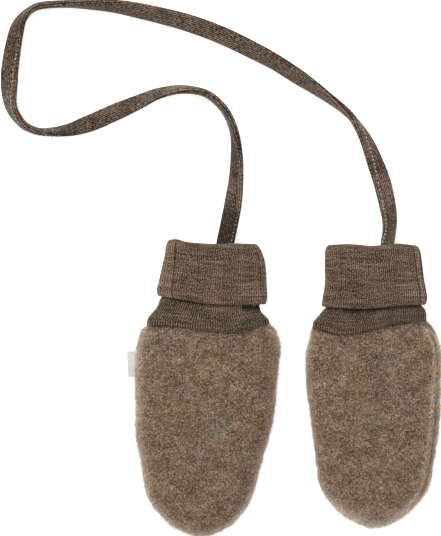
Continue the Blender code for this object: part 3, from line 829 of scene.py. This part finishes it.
def cuff_cloth(side, cuff):
    """The whole cuff, with the soft hills, waves and dents of loose knit."""
    rings, on_top = cuff_points(cuff)
    lift = np.where(on_top, 1.0, 0.0)[None, :] * (rings[:, :, 2] > TOP_FROM)
    hills = bumps(rings * CUFF_HILLS, 1.0, 3).reshape(lift.shape)
    rings[:, :, 2] += lift * CUFF_HILL_HEIGHT * hills
    waves = bumps(rings * SIDE_WAVES, SIDE_WAVE_SIZE, 4).reshape(lift.shape)
    rings[:, :, 0] += SIDE_WAVE_DEPTH * waves
    for x, y, size, depth in cuff["dents"]:
        near = ((rings[:, :, 0] - x) ** 2 + (rings[:, :, 1] - y) ** 2) / size**2
        on_stand = (rings[:, :, 2] > DENTED_FROM) & (rings[:, :, 2] < DENTED_TO)
        rings[:, :, 2] -= lift * on_stand * depth * np.exp(-near)
    rings += (*cuff["place"], 0)
    around, along = rings.shape[1], rings.shape[0]

    def nearest(share, count):
        return np.round(share * count).astype(int) % count

    def placed(u, v):
        return rings[nearest(v, along), nearest(u, around)]

    piece = wrapped_cloth(f"{side}_cuff", around, along, placed, close_ends=False)
    pale = cuff_paleness(cuff)
    shade_cloth(piece, lambda u, v: pale[nearest(v, along), nearest(u, around)])
    return piece


rib_knit = knit_wool(
    "rib_knit",
    stitches=(2 * RIBS, 190),
    streak=5.0,
    fleck=(1.55, 1.0),
    stops=(
        (0.0, (0.010, 0.0052, 0.0018)),
        (0.5, (0.029, 0.0170, 0.0080)),
        (1.0, (0.300, 0.222, 0.151)),
    ),
    contrast=(4.9, 0.9, 0.45),
    dabs=3.2,
    rust=1.0,
    groove=0.3,
)
for side, cuff in CUFFS.items():
    piece = cuff_cloth(side, cuff)
    piece.data.materials.append(rib_knit)
    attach(piece, "root")
    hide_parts(f"{side}_rib_cuff")

# ---- Fleece panels ----
# The hand of each mitten is two panels of brushed wool fleece, laid on each other and sewn round
# the edge with the seam turned in. The right mitten's outer seam has rolled a little on to the top.
FLEECE_TOP = 8.0
WRIST_HEIGHT, WRIST_GAIN = 0.66, 0.34  # shares of the height at the wrist, and gained beyond it
WRIST_RISE_RUN = 5.0
TIP_TOP_ROUNDING = 9.0
TIP_UNDERSIDE_ROUNDING = 4.5
TIP_ROUNDNESS = 2.3
UNDERSIDE_LIFT = 0.3
WRIST_UNDERSIDE_LIFT = 0.7
WRIST_UNDERSIDE_RUN = 4.0
SIDE_SEAM_HEIGHT = 3.9
LAST_ROW_TO_TIP = 0.3
CROWN_ROUNDNESS = 3.2
UNDERSIDE_ROUNDNESS = 7.0
NAP_DEPTH = 0.45
SEAM_TUCK = 1.1
SEAM_TUCK_SHARE = 0.25  # at most, of the height
SEAM_TUCK_RUN = 1.7
SEAM_TIGHTNESS = 0.08
ROLLED_SEAM_RUN = 4.5
RIDGE_OFFSET = 1.4
RIDGE_HEIGHT = 0.55
RIDGE_HALF_WIDTH = 1.1
WRIST_BOW_FADES_AT = 15.0
OUTER_COLUMNS = 110
INNER_COLUMNS = 16
BODY_ROWS = 130
CLOSER_AT_SEAMS = 0.12
CLOSER_AT_TIP = 0.08
EDGE_WAVE_DEPTH = 0.35
EDGE_WAVE_SIZE = 5.0
FLEECE_HILLS = ((0.22, 13.0, 1), (0.1, 4.5, 2))  # height, size and seed
HILLS_FROM, HILLS_RUN = 1.0, 4.0  # above the floor
BODIES = {
    "left": (  # below the wrist seam, reach to the left, reach to the right, roll of the right seam
        (0.0, 31.2, 32.8, 0.0),
        (2.0, 34.2, 35.7, 0.0),
        (5.5, 35.5, 37.5, 0.0),
        (12.0, 36.5, 38.3, 0.0),
        (26.5, 37.1, 36.6, 0.0),
        (41.0, 36.8, 35.6, 0.0),
        (55.0, 36.8, 32.7, 0.0),
        (68.0, 34.4, 28.9, 0.0),
        (79.0, 32.6, 26.1, 0.0),
        (88.0, 30.4, 23.1, 0.0),
        (95.2, 25.0, 19.0, 0.0),
        (100.5, 19.9, 14.3, 0.0),
        (104.3, 14.0, 8.5, 0.0),
        (106.4, 9.1, 3.3, 0.0),
        (107.3, 5.8, 0.1, 0.0),
    ),
    "right": (
        (0.0, 31.7, 27.3, 1.0),
        (2.0, 32.5, 30.2, 1.5),
        (5.5, 33.2, 32.8, 2.0),
        (12.0, 34.7, 34.8, 2.2),
        (26.5, 35.1, 34.6, 2.2),
        (41.0, 33.2, 34.5, 2.2),
        (55.0, 31.6, 33.3, 2.2),
        (68.0, 29.9, 31.3, 2.2),
        (79.0, 28.5, 29.6, 2.1),
        (86.0, 25.6, 26.4, 1.9),
        (92.0, 20.9, 21.6, 1.1),
        (97.0, 15.3, 16.4, 0.0),
        (100.5, 8.5, 10.0, 0.0),
        (102.2, 4.9, 6.0, 0.0),
        (102.8, 3.4, 4.2, 0.0),
    ),
}


def smooth_step(share):
    """0 to 1, flat at both ends."""
    share = np.clip(share, 0, 1)
    return share * share * (3 - 2 * share)


def fleece_heights(below, tip):
    """The top and the underside, this far below the wrist."""
    rise_share = np.clip(below / WRIST_RISE_RUN, 0, 1)
    rise = WRIST_HEIGHT + WRIST_GAIN * np.sqrt(1 - (1 - rise_share) ** 2)
    top_share = np.clip((tip - below) / TIP_TOP_ROUNDING, 0, 1)
    low_share = np.clip((tip - below) / TIP_UNDERSIDE_ROUNDING, 0, 1)
    fall = (1 - (1 - top_share) ** TIP_ROUNDNESS) ** (1 / TIP_ROUNDNESS)
    flat = (1 - (1 - low_share) ** TIP_ROUNDNESS) ** (1 / TIP_ROUNDNESS)
    top = SIDE_SEAM_HEIGHT + (FLEECE_TOP - NAP_DEPTH - SIDE_SEAM_HEIGHT) * rise * fall
    low = UNDERSIDE_LIFT + WRIST_UNDERSIDE_LIFT * (1 - smooth_step(below / WRIST_UNDERSIDE_RUN))
    return top, blend(SIDE_SEAM_HEIGHT, low, flat)


def fleece_panel_points(body, wrist_line, is_front, u, v):
    """A closed panel's points: v runs from the wrist to the tip, and u round the section.

    u goes first over the outside, from the right seam to the left one, and then back inside, along
    the line where the two panels meet.
    """
    last = len(body) - 1
    rows = smooth_rows(body, last * v)
    tip = body[-1][0] + LAST_ROW_TO_TIP
    below = rows[:, 0] * (tip - NAP_DEPTH) / tip
    left, right = rows[:, 1] - NAP_DEPTH, rows[:, 2] - NAP_DEPTH
    roll = np.clip(rows[:, 3], 0, None)
    top, low = fleece_heights(below, tip - NAP_DEPTH)
    middle, reach = (right - left) / 2, (left + right) / 2
    up = 1 if is_front else -1

    def outside(turn):
        above = turn >= 0
        power = np.where(above, CROWN_ROUNDNESS, UNDERSIDE_ROUNDNESS)
        height = np.where(above, top, low) - SIDE_SEAM_HEIGHT
        bulge = np.clip(1 - np.abs(np.cos(turn)) ** power, 0, None) ** (1 / power)
        return np.stack([middle + reach * np.cos(turn), SIDE_SEAM_HEIGHT + height * bulge], 1)

    rolled_at = np.arccos(np.clip((reach - roll) / reach, -1, 1))
    seam_right, seam_left = outside(rolled_at), outside(np.full_like(u, math.pi))
    tuck = np.minimum(SEAM_TUCK, SEAM_TUCK_SHARE * (top - low))
    risen = smooth_step(roll)
    start = seam_right + np.stack([-tuck * (1 - risen), -tuck * risen], 1)
    end = seam_left + np.stack([tuck, 0 * tuck], 1)
    run = np.minimum(ROLLED_SEAM_RUN, (start[:, 0] - end[:, 0]) / 2)

    def parting(share):
        x = blend(start[:, 0], end[:, 0], (1 - np.cos(math.pi * share)) / 2)
        fallen = np.sqrt(1 - np.clip(1 - (start[:, 0] - x) / run, 0, 1) ** 2)
        return np.stack([x, blend(start[:, 1], SIDE_SEAM_HEIGHT, fallen)], 1)

    def inside(share):
        ahead = parting(np.clip(share + 0.01, 0, 1)) - parting(np.clip(share - 0.01, 0, 1))
        ahead /= np.maximum(np.linalg.norm(ahead, axis=1), 1e-6)[:, None]
        return parting(share) - np.stack([-ahead[:, 1], ahead[:, 0]], 1) * up * SEAM_TIGHTNESS

    outer_share = OUTER_COLUMNS / (OUTER_COLUMNS + INNER_COLUMNS)
    s = np.clip(u / outer_share, 0, 1)
    s = s - CLOSER_AT_SEAMS * np.sin(2 * math.pi * s)
    outer = outside(blend(rolled_at, up * math.pi, s))
    if is_front:
        beside = np.linalg.norm(outer - seam_right, axis=1) - RIDGE_OFFSET
        outer[:, 1] += RIDGE_HEIGHT * risen * (s < 0.5) * hill(beside, RIDGE_HALF_WIDTH)
    seams = ((seam_right, inside(0 * s), s < 0.5), (seam_left, inside(0 * s + 1), s >= 0.5))
    for seam, held, nearer in seams:
        away = np.linalg.norm(outer - seam, axis=1)
        pulled = np.where(nearer, np.clip(1 - away / SEAM_TUCK_RUN, 0, 1) ** 2, 0)[:, None]
        outer = blend(outer, held, pulled)
    inner = inside(np.clip(1 - (u - outer_share) / (1 - outer_share), 0, 1))
    point = np.where((u <= outer_share + 1e-6)[:, None], outer, inner)
    fade = np.clip(1 - below / WRIST_BOW_FADES_AT, 0, None) ** 2
    bow = across_line(wrist_line, -body[0][1], body[0][2], point[:, 0])
    return np.stack([point[:, 0], fade * bow - below - WRIST_SEAM_GAP / 2, point[:, 1]], 1)


def fleece_panel(side, face):
    """The front or the back panel, with an uneven edge and low soft hills on what shows."""
    cuff = CUFFS[side]

    def placed(u, v):
        eased = v + CLOSER_AT_TIP * np.sin(2 * math.pi * v) * (v > 0.5)
        points = fleece_panel_points(BODIES[side], cuff["seam"], face == "front", u, eased)
        points += (*cuff["place"], 0)
        points[:, 0] += EDGE_WAVE_DEPTH * bumps(points * (1, 1, 0), EDGE_WAVE_SIZE, 5)
        soft = sum(height * bumps(points, size, seed) for height, size, seed in FLEECE_HILLS)
        points[:, 2] += soft * np.clip((points[:, 2] - HILLS_FROM) / HILLS_RUN, 0, 1)
        return points

    return wrapped_cloth(f"{side}_{face}_fleece", OUTER_COLUMNS + INNER_COLUMNS, BODY_ROWS, placed)


WOOL_STOPS = (  # place, and colour
    (0.0, (0.040, 0.028, 0.019)),
    (0.5, (0.134, 0.0865, 0.0530)),
    (1.0, (0.51, 0.395, 0.283)),
)
WOOL_RUST = (0.24, 0.138, 0.080, 1.0)
WOOL_DYES = (  # a fibre's draw, and its tint
    (0.0, (1.0, 1.0, 1.0)),
    (0.6, (1.0, 1.0, 1.0)),
    (0.8, (1.2, 0.92, 0.78)),
    (1.0, (0.92, 1.05, 0.96)),
)
# The tint of the painted light and shade.
PAINTED_LIGHT_TINT = (0.88, 1.0, 1.18)


def brushed_wool(name, brightness):
    """Melange wool, brushed to a short nap: brown with pale, dark and rusty fibres.

    It reads four values for each point: fibre_shade, fibre_dye, frost, which is painted rim light
    that turns the fuzz pale, and painted_light_and_shade, which is painted light and shade on the
    wool.
    """
    wool = Nodes(name, 0.95, 0.2, (1.0, 0.92, 0.83))
    place = wool.add("ShaderNodeTexCoord", "Object")
    fibres = wool.cloud(place, 0.0007, 2.0, 0.7)
    shade = wool.attribute("fibre_shade")
    for cloud, strength in (
        (fibres, 2.2),
        (wool.cloud(place, 0.0022, 2.0), 0.7),
        (wool.cloud(wool.scaled(place, (1.0, 1.5, 1.0)), 0.009, 2.0), 0.7),
    ):
        shade = wool.sum("ADD", shade, wool.away_from_half(cloud, strength))
    stops = [(at, tuple(c * brightness for c in colour)) for at, colour in WOOL_STOPS]
    colour = wool.ramp(wool.sum("ADD", shade, 0.5), stops)
    redder = wool.cloud(wool.scaled(place, (1.0, 1.3, 1.0)), 0.0022, 1.0)
    redder = wool.sum("MULTIPLY", wool.sum("SUBTRACT", redder, 0.52), 1.6)
    colour = wool.mix(wool.clamped(redder), colour, WOOL_RUST)
    bluer = wool.cloud(place, 0.012, 1.0)
    colour = wool.tinted(colour, bluer, (0.97, 1.0, 1.05), (1.05, 1.0, 0.92))
    pinker = wool.cloud(wool.scaled(place, (1.0, 1.0, -1.0)), 0.009, 1.0)
    colour = wool.tinted(colour, pinker, (0.965, 1.01, 0.955), (1.055, 0.98, 1.04))
    dye = wool.attribute("fibre_dye")
    colour = wool.mix(1.0, colour, wool.ramp(dye, WOOL_DYES), "MULTIPLY")
    # Painted rim light: the fuzz turns pale as the attribute says.
    painted_rim_light = wool.attribute("painted_rim_light")
    painted_rim_light = wool.sum("MULTIPLY", painted_rim_light, wool.sum("ADD", wool.away_from_half(fibres, 3.5), 1.0))
    painted_rim_light = wool.clamped(painted_rim_light)
    rim_lit = wool.ramp(painted_rim_light, ((0.35, (0.79, 0.66, 0.52)), (1.0, (0.82, 0.76, 0.70))))
    colour = wool.mix(painted_rim_light, colour, rim_lit)
    # Painted light and shade, bluer where it is lighter.
    seam = wool.attribute("painted_light_and_shade")
    links = {0: seam, 1: PAINTED_LIGHT_TINT, 2: (1.0, 1.0, 1.0)}
    seam = wool.add("ShaderNodeVectorMath", 0, links, operation="MULTIPLY_ADD")
    colour = wool.mix(1.0, colour, seam, "MULTIPLY")
    return wool.finish(colour, fibres, 0.9, 0.5)


fleece_wool = brushed_wool("brushed_fleece", 0.9)
nap_wool = brushed_wool("fleece_nap", 1.1)
FRONT_FIBRES = 92000
BACK_FIBRES = 45000
NAP_LENGTH = 1.0
NAP_LENGTHS = (0.55, 1.3)  # times that
NAP_WIDTH = 0.16
NAP_WIDTHS = (0.6, 1.3)
NAP_LEAN = 55.0  # degrees
NAP_LEAN_SPREAD = 14
NAP_LEAN_LIMITS = (0.1, 1.45)  # radians
LESS_LEAN_AT_RIM = 22
NAP_CURL = 0.28
NAP_SUNK = 0.1
NAP_LOWEST = 0.05  # above the floor
COMBED = (-1.9, 1.2)  # the way that most fibres lie, and its spread, in radians
SWIRL = 1.6
SWIRL_SIZE = 5.0
FIBRE_CONTRAST = 1.42
RIM_FROM, RIM_RUN = 0.985, 0.25  # how much the surface looks up
RIM_DENSITY = 1.8
RIM_STRETCH = 0.6
RIM_THINNER = 0.3
STRAY_SHARE = 0.22
STRAY_LENGTH = 1.9
TUFTS = ((0.45, 1.3, 9), (0.45, 3.5, 10))  # share of the length, size and seed
INNER_FACE = -0.35  # how much the surface looks up
UNDERSIDE_FACE = -0.85
UNDERSIDE_DENSITY = 0.12
# How much painted rim light pales the fuzz at a side, and over what distance it fades: the left
# side, then the right one. At the tip a third value says how much painted light lightens the wool
# itself.
RIM_LIGHT = {"left": ((0.78, 1.8), (0.28, 1.0)), "right": ((0.35, 1.2), (0.12, 1.0))}
TIP_PAINTED_LIGHT = {"left": (1.0, 1.4, 0.05), "right": (0.85, 2.4, 0.2)}
# Painted rim light near the outline, its spread, and its fading at the wrist and the floor.
OUTLINE_RIM_LIGHT = (0.7, 1.1)
RIM_LIGHT_SPREAD = (0.2, 1.7)
RIM_LIGHT_AT_WRIST, RIM_LIGHT_WRIST_RUN = 0.4, 9
RIM_LIGHT_AT_FLOOR, RIM_LIGHT_FROM, RIM_LIGHT_RUN = 0.3, 1.5, 2.5
RIM_LIGHT_FROM_HIGHLIGHT = 0.25
OUTLINE_ROWS = 90
TIP_POINTS = 8
TIP_FROM, TIP_RUN = 70, 30  # below the wrist
# Painted light at the tip fades over this run.
TIP_LIGHT_RUN = 3.0
WRIST_SHADOW_RUN = 0.8
# Beside the rolled seam, a painted highlight on the raised edge and painted shade in the hollow:
# below the wrist, how far in the raised edge is, its run inwards, how much lighter it is painted,
# how far in the hollow is, and how much darker that is painted.
ROLLED_EDGE = (
    (20, 0.8, 0.95, 0.68, 2.1, 0.5),
    (45, 1.25, 2.7, 0.46, 2.45, 0.3),
    (60, 1.25, 2.7, 0.46, 2.45, 0.3),
    (85, 1.25, 2.7, 0.25, 2.45, 0.3),
)
ROLLED_EDGE_RUN_OUT = 0.5
ROLLED_EDGE_FULL_AT = 14  # below the wrist
HOLLOW_RUN = 0.5
# Painted shade inside a mitten's right side where its seam lies flat.
FLANK_PAINTED_SHADE, FLANK_IN, FLANK_RUN = 0.12, 5.5, 3.5
nap_draws = np.random.default_rng(7)


def nap_fibre():
    """One fibre, a thin kite that bends at its widest: X is across it and Y along it."""
    bm = bmesh.new()
    bmesh.ops.create_circle(bm, cap_ends=True, segments=4, radius=0.5)
    bmesh.ops.translate(bm, verts=bm.verts, vec=(0, 0.5, 0))
    widest = [v for v in bm.verts if abs(v.co.x) > 0.1]
    bmesh.ops.translate(bm, verts=widest, vec=(0, -0.15, 0))
    bmesh.ops.connect_verts(bm, verts=widest)
    bm.verts.index_update()
    return bm


fibre = nap_fibre()


def point_values(mesh, name, values):
    """Write a value for each point, which the wool's material reads by this name."""
    layer = mesh.attributes.new(name, "FLOAT", "POINT")
    layer.data.foreach_set("value", values.astype(np.float32))


def rimness(up):
    """0 on the flat of a mitten and 1 where its surface turns over the edge."""
    return np.clip((RIM_FROM - up) / RIM_RUN, 0, 1)


def from_outline(side, points):
    """Painted rim light on the fuzz at points in millimetres, and painted light and shade there.

    The rim light is strongest at the outline, most of all at the tip, and fades with the distance
    from it and towards the wrist and the floor. The painted light and shade is a highlight on the
    raised edge beside a rolled seam and shade in its hollow, shade inside the right side where the
    seam lies flat, light at the tip, and shadow along the wrist seam.
    """
    body = np.array(BODIES[side])
    rows = smooth_rows(body, np.linspace(0, len(body) - 1, OUTLINE_ROWS))
    centre = np.array(CUFFS[side]["place"])
    nearest, share = np.full(len(points), 1e9), np.zeros(len(points))
    tip_middle = centre + ((rows[-1, 2] - rows[-1, 1]) / 2, -rows[-1, 0])
    tip = np.append(smooth_step((rows[:, 0] - TIP_FROM) / TIP_RUN), np.ones(TIP_POINTS))
    tip_pale, tip_fade, tip_light = TIP_PAINTED_LIGHT[side]
    for way, reach, (pale, fade) in zip((-1, 1), (rows[:, 1], rows[:, 2]), RIM_LIGHT[side]):
        outline = centre + np.stack([way * reach, -rows[:, 0]], 1)
        outline = np.vstack([outline, np.linspace(outline[-1], tip_middle, TIP_POINTS)])
        away = np.linalg.norm(points[:, None, :2] - outline, axis=2)
        closest = away.argmin(1)
        away = away[np.arange(len(points)), closest]
        pale, fade = blend(pale, tip_pale, tip[closest]), blend(fade, tip_fade, tip[closest])
        rim_lit = pale * np.exp(-away / fade) + OUTLINE_RIM_LIGHT[0] * np.exp(-away / OUTLINE_RIM_LIGHT[1])
        share = np.where(away < nearest, rim_lit, share)
        nearest = np.minimum(nearest, away)
    below = centre[1] - points[:, 1]
    right, roll = (read_table(body, below, column) for column in (2, 3))
    inboard = right - (points[:, 0] - centre[0])
    ridge_at, ridge_run, lighter, hollow_at, darker = (
        read_table(ROLLED_EDGE, below, column) for column in range(1, 6)
    )
    from_ridge = inboard - roll - ridge_at
    ridge_run = np.where(from_ridge < 0, ROLLED_EDGE_RUN_OUT, ridge_run)
    # Painted highlight on the raised edge and painted shade in its hollow.
    ridge = lighter * hill(from_ridge, ridge_run) - darker * hill(inboard - hollow_at, HOLLOW_RUN)
    # Painted shade inside the right side.
    flank = FLANK_PAINTED_SHADE * hill(inboard - FLANK_IN, FLANK_RUN)
    bow = across_line(CUFFS[side]["seam"], -body[0, 1], body[0, 2], points[:, 0] - centre[0])
    from_wrist = below + bow
    rolled = smooth_step(roll) * smooth_step(from_wrist / ROLLED_EDGE_FULL_AT)
    light_and_shade = np.where(roll > 0, rolled * ridge, -flank)
    # Less painted rim light at the wrist and near the floor, and more beside the highlight.
    off_wrist = smooth_step(from_wrist / RIM_LIGHT_WRIST_RUN)
    share = share * blend(RIM_LIGHT_AT_WRIST, 1, off_wrist) + RIM_LIGHT_FROM_HIGHLIGHT * np.maximum(light_and_shade, 0)
    off_floor = smooth_step((points[:, 2] - RIM_LIGHT_FROM) / RIM_LIGHT_RUN)
    share = share * blend(RIM_LIGHT_AT_FLOOR, 1, off_floor)
    at_tip = smooth_step((below - TIP_FROM) / TIP_RUN)
    # Painted light on the wool at the tip.
    light_and_shade = light_and_shade + tip_light * at_tip * hill(nearest, TIP_LIGHT_RUN)
    # Painted shadow on the fleece along the wrist seam.
    _, at_wrist = CUFFS[side]["wrist_shadows"]
    return np.minimum(share, 1), light_and_shade - at_wrist * hill(from_wrist, WRIST_SHADOW_RUN)


def nap(shell, side, name, count, shown):
    """Short fibres all over the shown faces of a panel, each leaning its own way."""
    mesh = shell.data
    mesh.calc_loop_triangles()
    corners = np.array([t.vertices[:] for t in mesh.loop_triangles])
    at = np.array([v.co[:] for v in mesh.vertices]) * 1000
    normals = np.array([v.normal[:] for v in mesh.vertices])
    a, b, c = at[corners[:, 0]], at[corners[:, 1]], at[corners[:, 2]]
    area = np.linalg.norm(np.cross(b - a, c - a), axis=1) / 2
    facing = np.array([t.normal[:] for t in mesh.loop_triangles])
    area = area * shown(facing[:, 2]) * (1 + RIM_DENSITY * rimness(np.abs(facing[:, 2])))
    chosen = nap_draws.choice(len(area), count, p=area / area.sum())
    w = nap_draws.dirichlet((1, 1, 1), count)
    pick = corners[chosen]
    root = np.einsum("nk,nkd->nd", w, at[pick])
    out = np.einsum("nk,nkd->nd", w, normals[pick])
    out /= np.linalg.norm(out, axis=1)[:, None]
    rim = rimness(np.abs(out[:, 2]))
    swirl = SWIRL * bumps(root, SWIRL_SIZE, 8) + nap_draws.normal(*COMBED, count)
    swirl += rim * nap_draws.uniform(-math.pi, math.pi, count)
    comb = np.stack([np.cos(swirl), np.sin(swirl), 0 * swirl], 1)
    comb -= out * (comb * out).sum(1)[:, None]
    comb /= np.maximum(np.linalg.norm(comb, axis=1), 1e-6)[:, None]
    lean = nap_draws.normal(NAP_LEAN, NAP_LEAN_SPREAD, count) - LESS_LEAN_AT_RIM * rim
    lean = np.radians(lean).clip(*NAP_LEAN_LIMITS)
    size = NAP_LENGTH * nap_draws.uniform(*NAP_LENGTHS, count) * (1 + RIM_STRETCH * rim)
    size *= np.where(nap_draws.uniform(0, 1, count) < STRAY_SHARE * rim, STRAY_LENGTH, 1.0)
    size *= 1 + rim * sum(high * bumps(root, wide, seed) for high, wide, seed in TUFTS)
    rise = np.cos(lean)[:, None] * out + np.sin(lean)[:, None] * comb
    turn = nap_draws.uniform(0, 2 * math.pi, count)[:, None]
    level = np.cross(out, comb)
    spread = np.cos(turn) * level + np.sin(turn) * np.cross(rise, level)
    shape = np.array([v.co[:] for v in fibre.verts])
    along = shape[:, 1]
    width = NAP_WIDTH * nap_draws.uniform(*NAP_WIDTHS, count) * (1 - RIM_THINNER * rim)
    points = (
        root[:, None, :]
        - NAP_SUNK * out[:, None, :]
        + (size[:, None] * along)[:, :, None] * rise[:, None, :]
        + (size[:, None] * NAP_CURL * along**2)[:, :, None] * (comb - out)[:, None, :]
        + (width[:, None] * shape[:, 0])[:, :, None] * spread[:, None, :]
    )
    points[:, :, 2] = np.maximum(points[:, :, 2], NAP_LOWEST)
    piece = repeated(name, fibre, points)
    # Painted rim light, and painted light and shade, for each fibre at its root.
    painted_rim_light, painted_light_and_shade = from_outline(side, root)
    painted_rim_light = np.clip(painted_rim_light * nap_draws.uniform(*RIM_LIGHT_SPREAD, count), 0, 1)
    tone = nap_draws.uniform(-FIBRE_CONTRAST, FIBRE_CONTRAST, count)
    dye = nap_draws.uniform(0, 1, count)
    for attribute, values in (
        ("fibre_shade", tone), ("fibre_dye", dye), ("painted_rim_light", painted_rim_light), ("painted_light_and_shade", painted_light_and_shade)
    ):
        point_values(piece.data, attribute, np.repeat(values, len(shape)))
    piece.data.materials.append(nap_wool)
    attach(piece, "root")
    return piece


def on_front(up):
    """The share of fibres on faces that look up this much: none inside, against the back panel."""
    return up > INNER_FACE


def on_back(up):
    """The same for a back panel: few on the underside, which lies on the floor."""
    return np.where(up < UNDERSIDE_FACE, UNDERSIDE_DENSITY, 1.0)


for side in CUFFS:
    for face, fibres, shown in (("front", FRONT_FIBRES, on_front), ("back", BACK_FIBRES, on_back)):
        piece = fleece_panel(side, face)
        piece.data.materials.append(fleece_wool)
        skin = np.array([v.co[:] for v in piece.data.vertices]) * 1000
        # Painted rim light, and painted light and shade, on the panel itself.
        for attribute, values in zip(("painted_rim_light", "painted_light_and_shade"), from_outline(side, skin)):
            point_values(piece.data, attribute, values)
        fur = nap(piece, side, f"{side}_{face}_nap", fibres, shown)
        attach(piece, "root")
        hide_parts(f"{side}_{face}_panel")

# ---- Side label ----
# A short piece of cream-white woven tape, folded in half and caught in the left mitten's outer side
# seam. It is left plain.
LABEL_LENGTH = 13.4
LABEL_REACH = 4.3
LABEL_TAPE = 0.28
LABEL_BEND = 0.12  # share of the tape that bends round the fold
LABEL_BEND_RADIUS = 0.2
LABEL_HALF_GAP = 0.22
LABEL_WAVE = 0.25
LABEL_WAVE_TURN = 5  # radians along the fold
LABEL_CORNER = 0.35
LABEL_CORNER_FROM, LABEL_CORNER_RUN = -0.1, 0.7
LABEL_COLUMNS = 28
LABEL_ROWS = 40
LABEL_CENTRE = (-79.0, 12.4)
LABEL_TURN = math.radians(3)


def label_points(u, v):
    """The folded tape: u runs from the seam round the fold and back, v along the fold."""
    bend = LABEL_BEND * math.pi
    way = (u - 0.5) * 2
    angle = np.clip(way / LABEL_BEND, -1, 1) * math.pi / 2
    flat_share = np.clip(np.abs(way) - LABEL_BEND, 0, None) / (1 - LABEL_BEND)
    x = LABEL_REACH * flat_share - LABEL_BEND_RADIUS * np.cos(angle) * bend
    wave = LABEL_WAVE * (1 - x / LABEL_REACH) * np.sin(LABEL_WAVE_TURN * v)
    z = SIDE_SEAM_HEIGHT + LABEL_HALF_GAP * np.sin(angle) + wave
    corner = np.clip(1 - (x - LABEL_CORNER_FROM) / LABEL_CORNER_RUN, 0, 1) ** 2
    y = (v - 0.5) * (LABEL_LENGTH - 2 * LABEL_CORNER * corner)
    x = x - LABEL_REACH / 2
    turned_x = x * math.cos(LABEL_TURN) - y * math.sin(LABEL_TURN)
    turned_y = x * math.sin(LABEL_TURN) + y * math.cos(LABEL_TURN)
    return np.stack([turned_x + LABEL_CENTRE[0], turned_y + LABEL_CENTRE[1], z], 1)


label = wrapped_cloth(
    "side_label_tape", LABEL_COLUMNS, LABEL_ROWS, label_points, close_ends=False
)
label_wall = label.modifiers.new("tape_thickness", "SOLIDIFY")
label_wall.thickness = LABEL_TAPE / 1000
label_wall.offset = 0.0
tape = Nodes("woven_tape", 0.6, 0.1, (1.0, 1.0, 1.0))
tape_uv = tape.scaled(tape.add("ShaderNodeUVMap", 0, uv_map="UVMap"), (30, 44, 1))
tape_weave = tape.add("ShaderNodeTexChecker", 1, {"Vector": tape_uv, "Scale": 1.0})
tape_cloud = tape.cloud(tape_uv, 1.5, 1.0)
label.data.materials.append(
    tape.finish(
        tape.ramp(tape_cloud, ((0.3, (0.50, 0.495, 0.455)), (0.7, (0.64, 0.635, 0.585)))),
        tape_weave,
        0.5,
        0.08,
    )
)
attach(label, "root")
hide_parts("side_label")
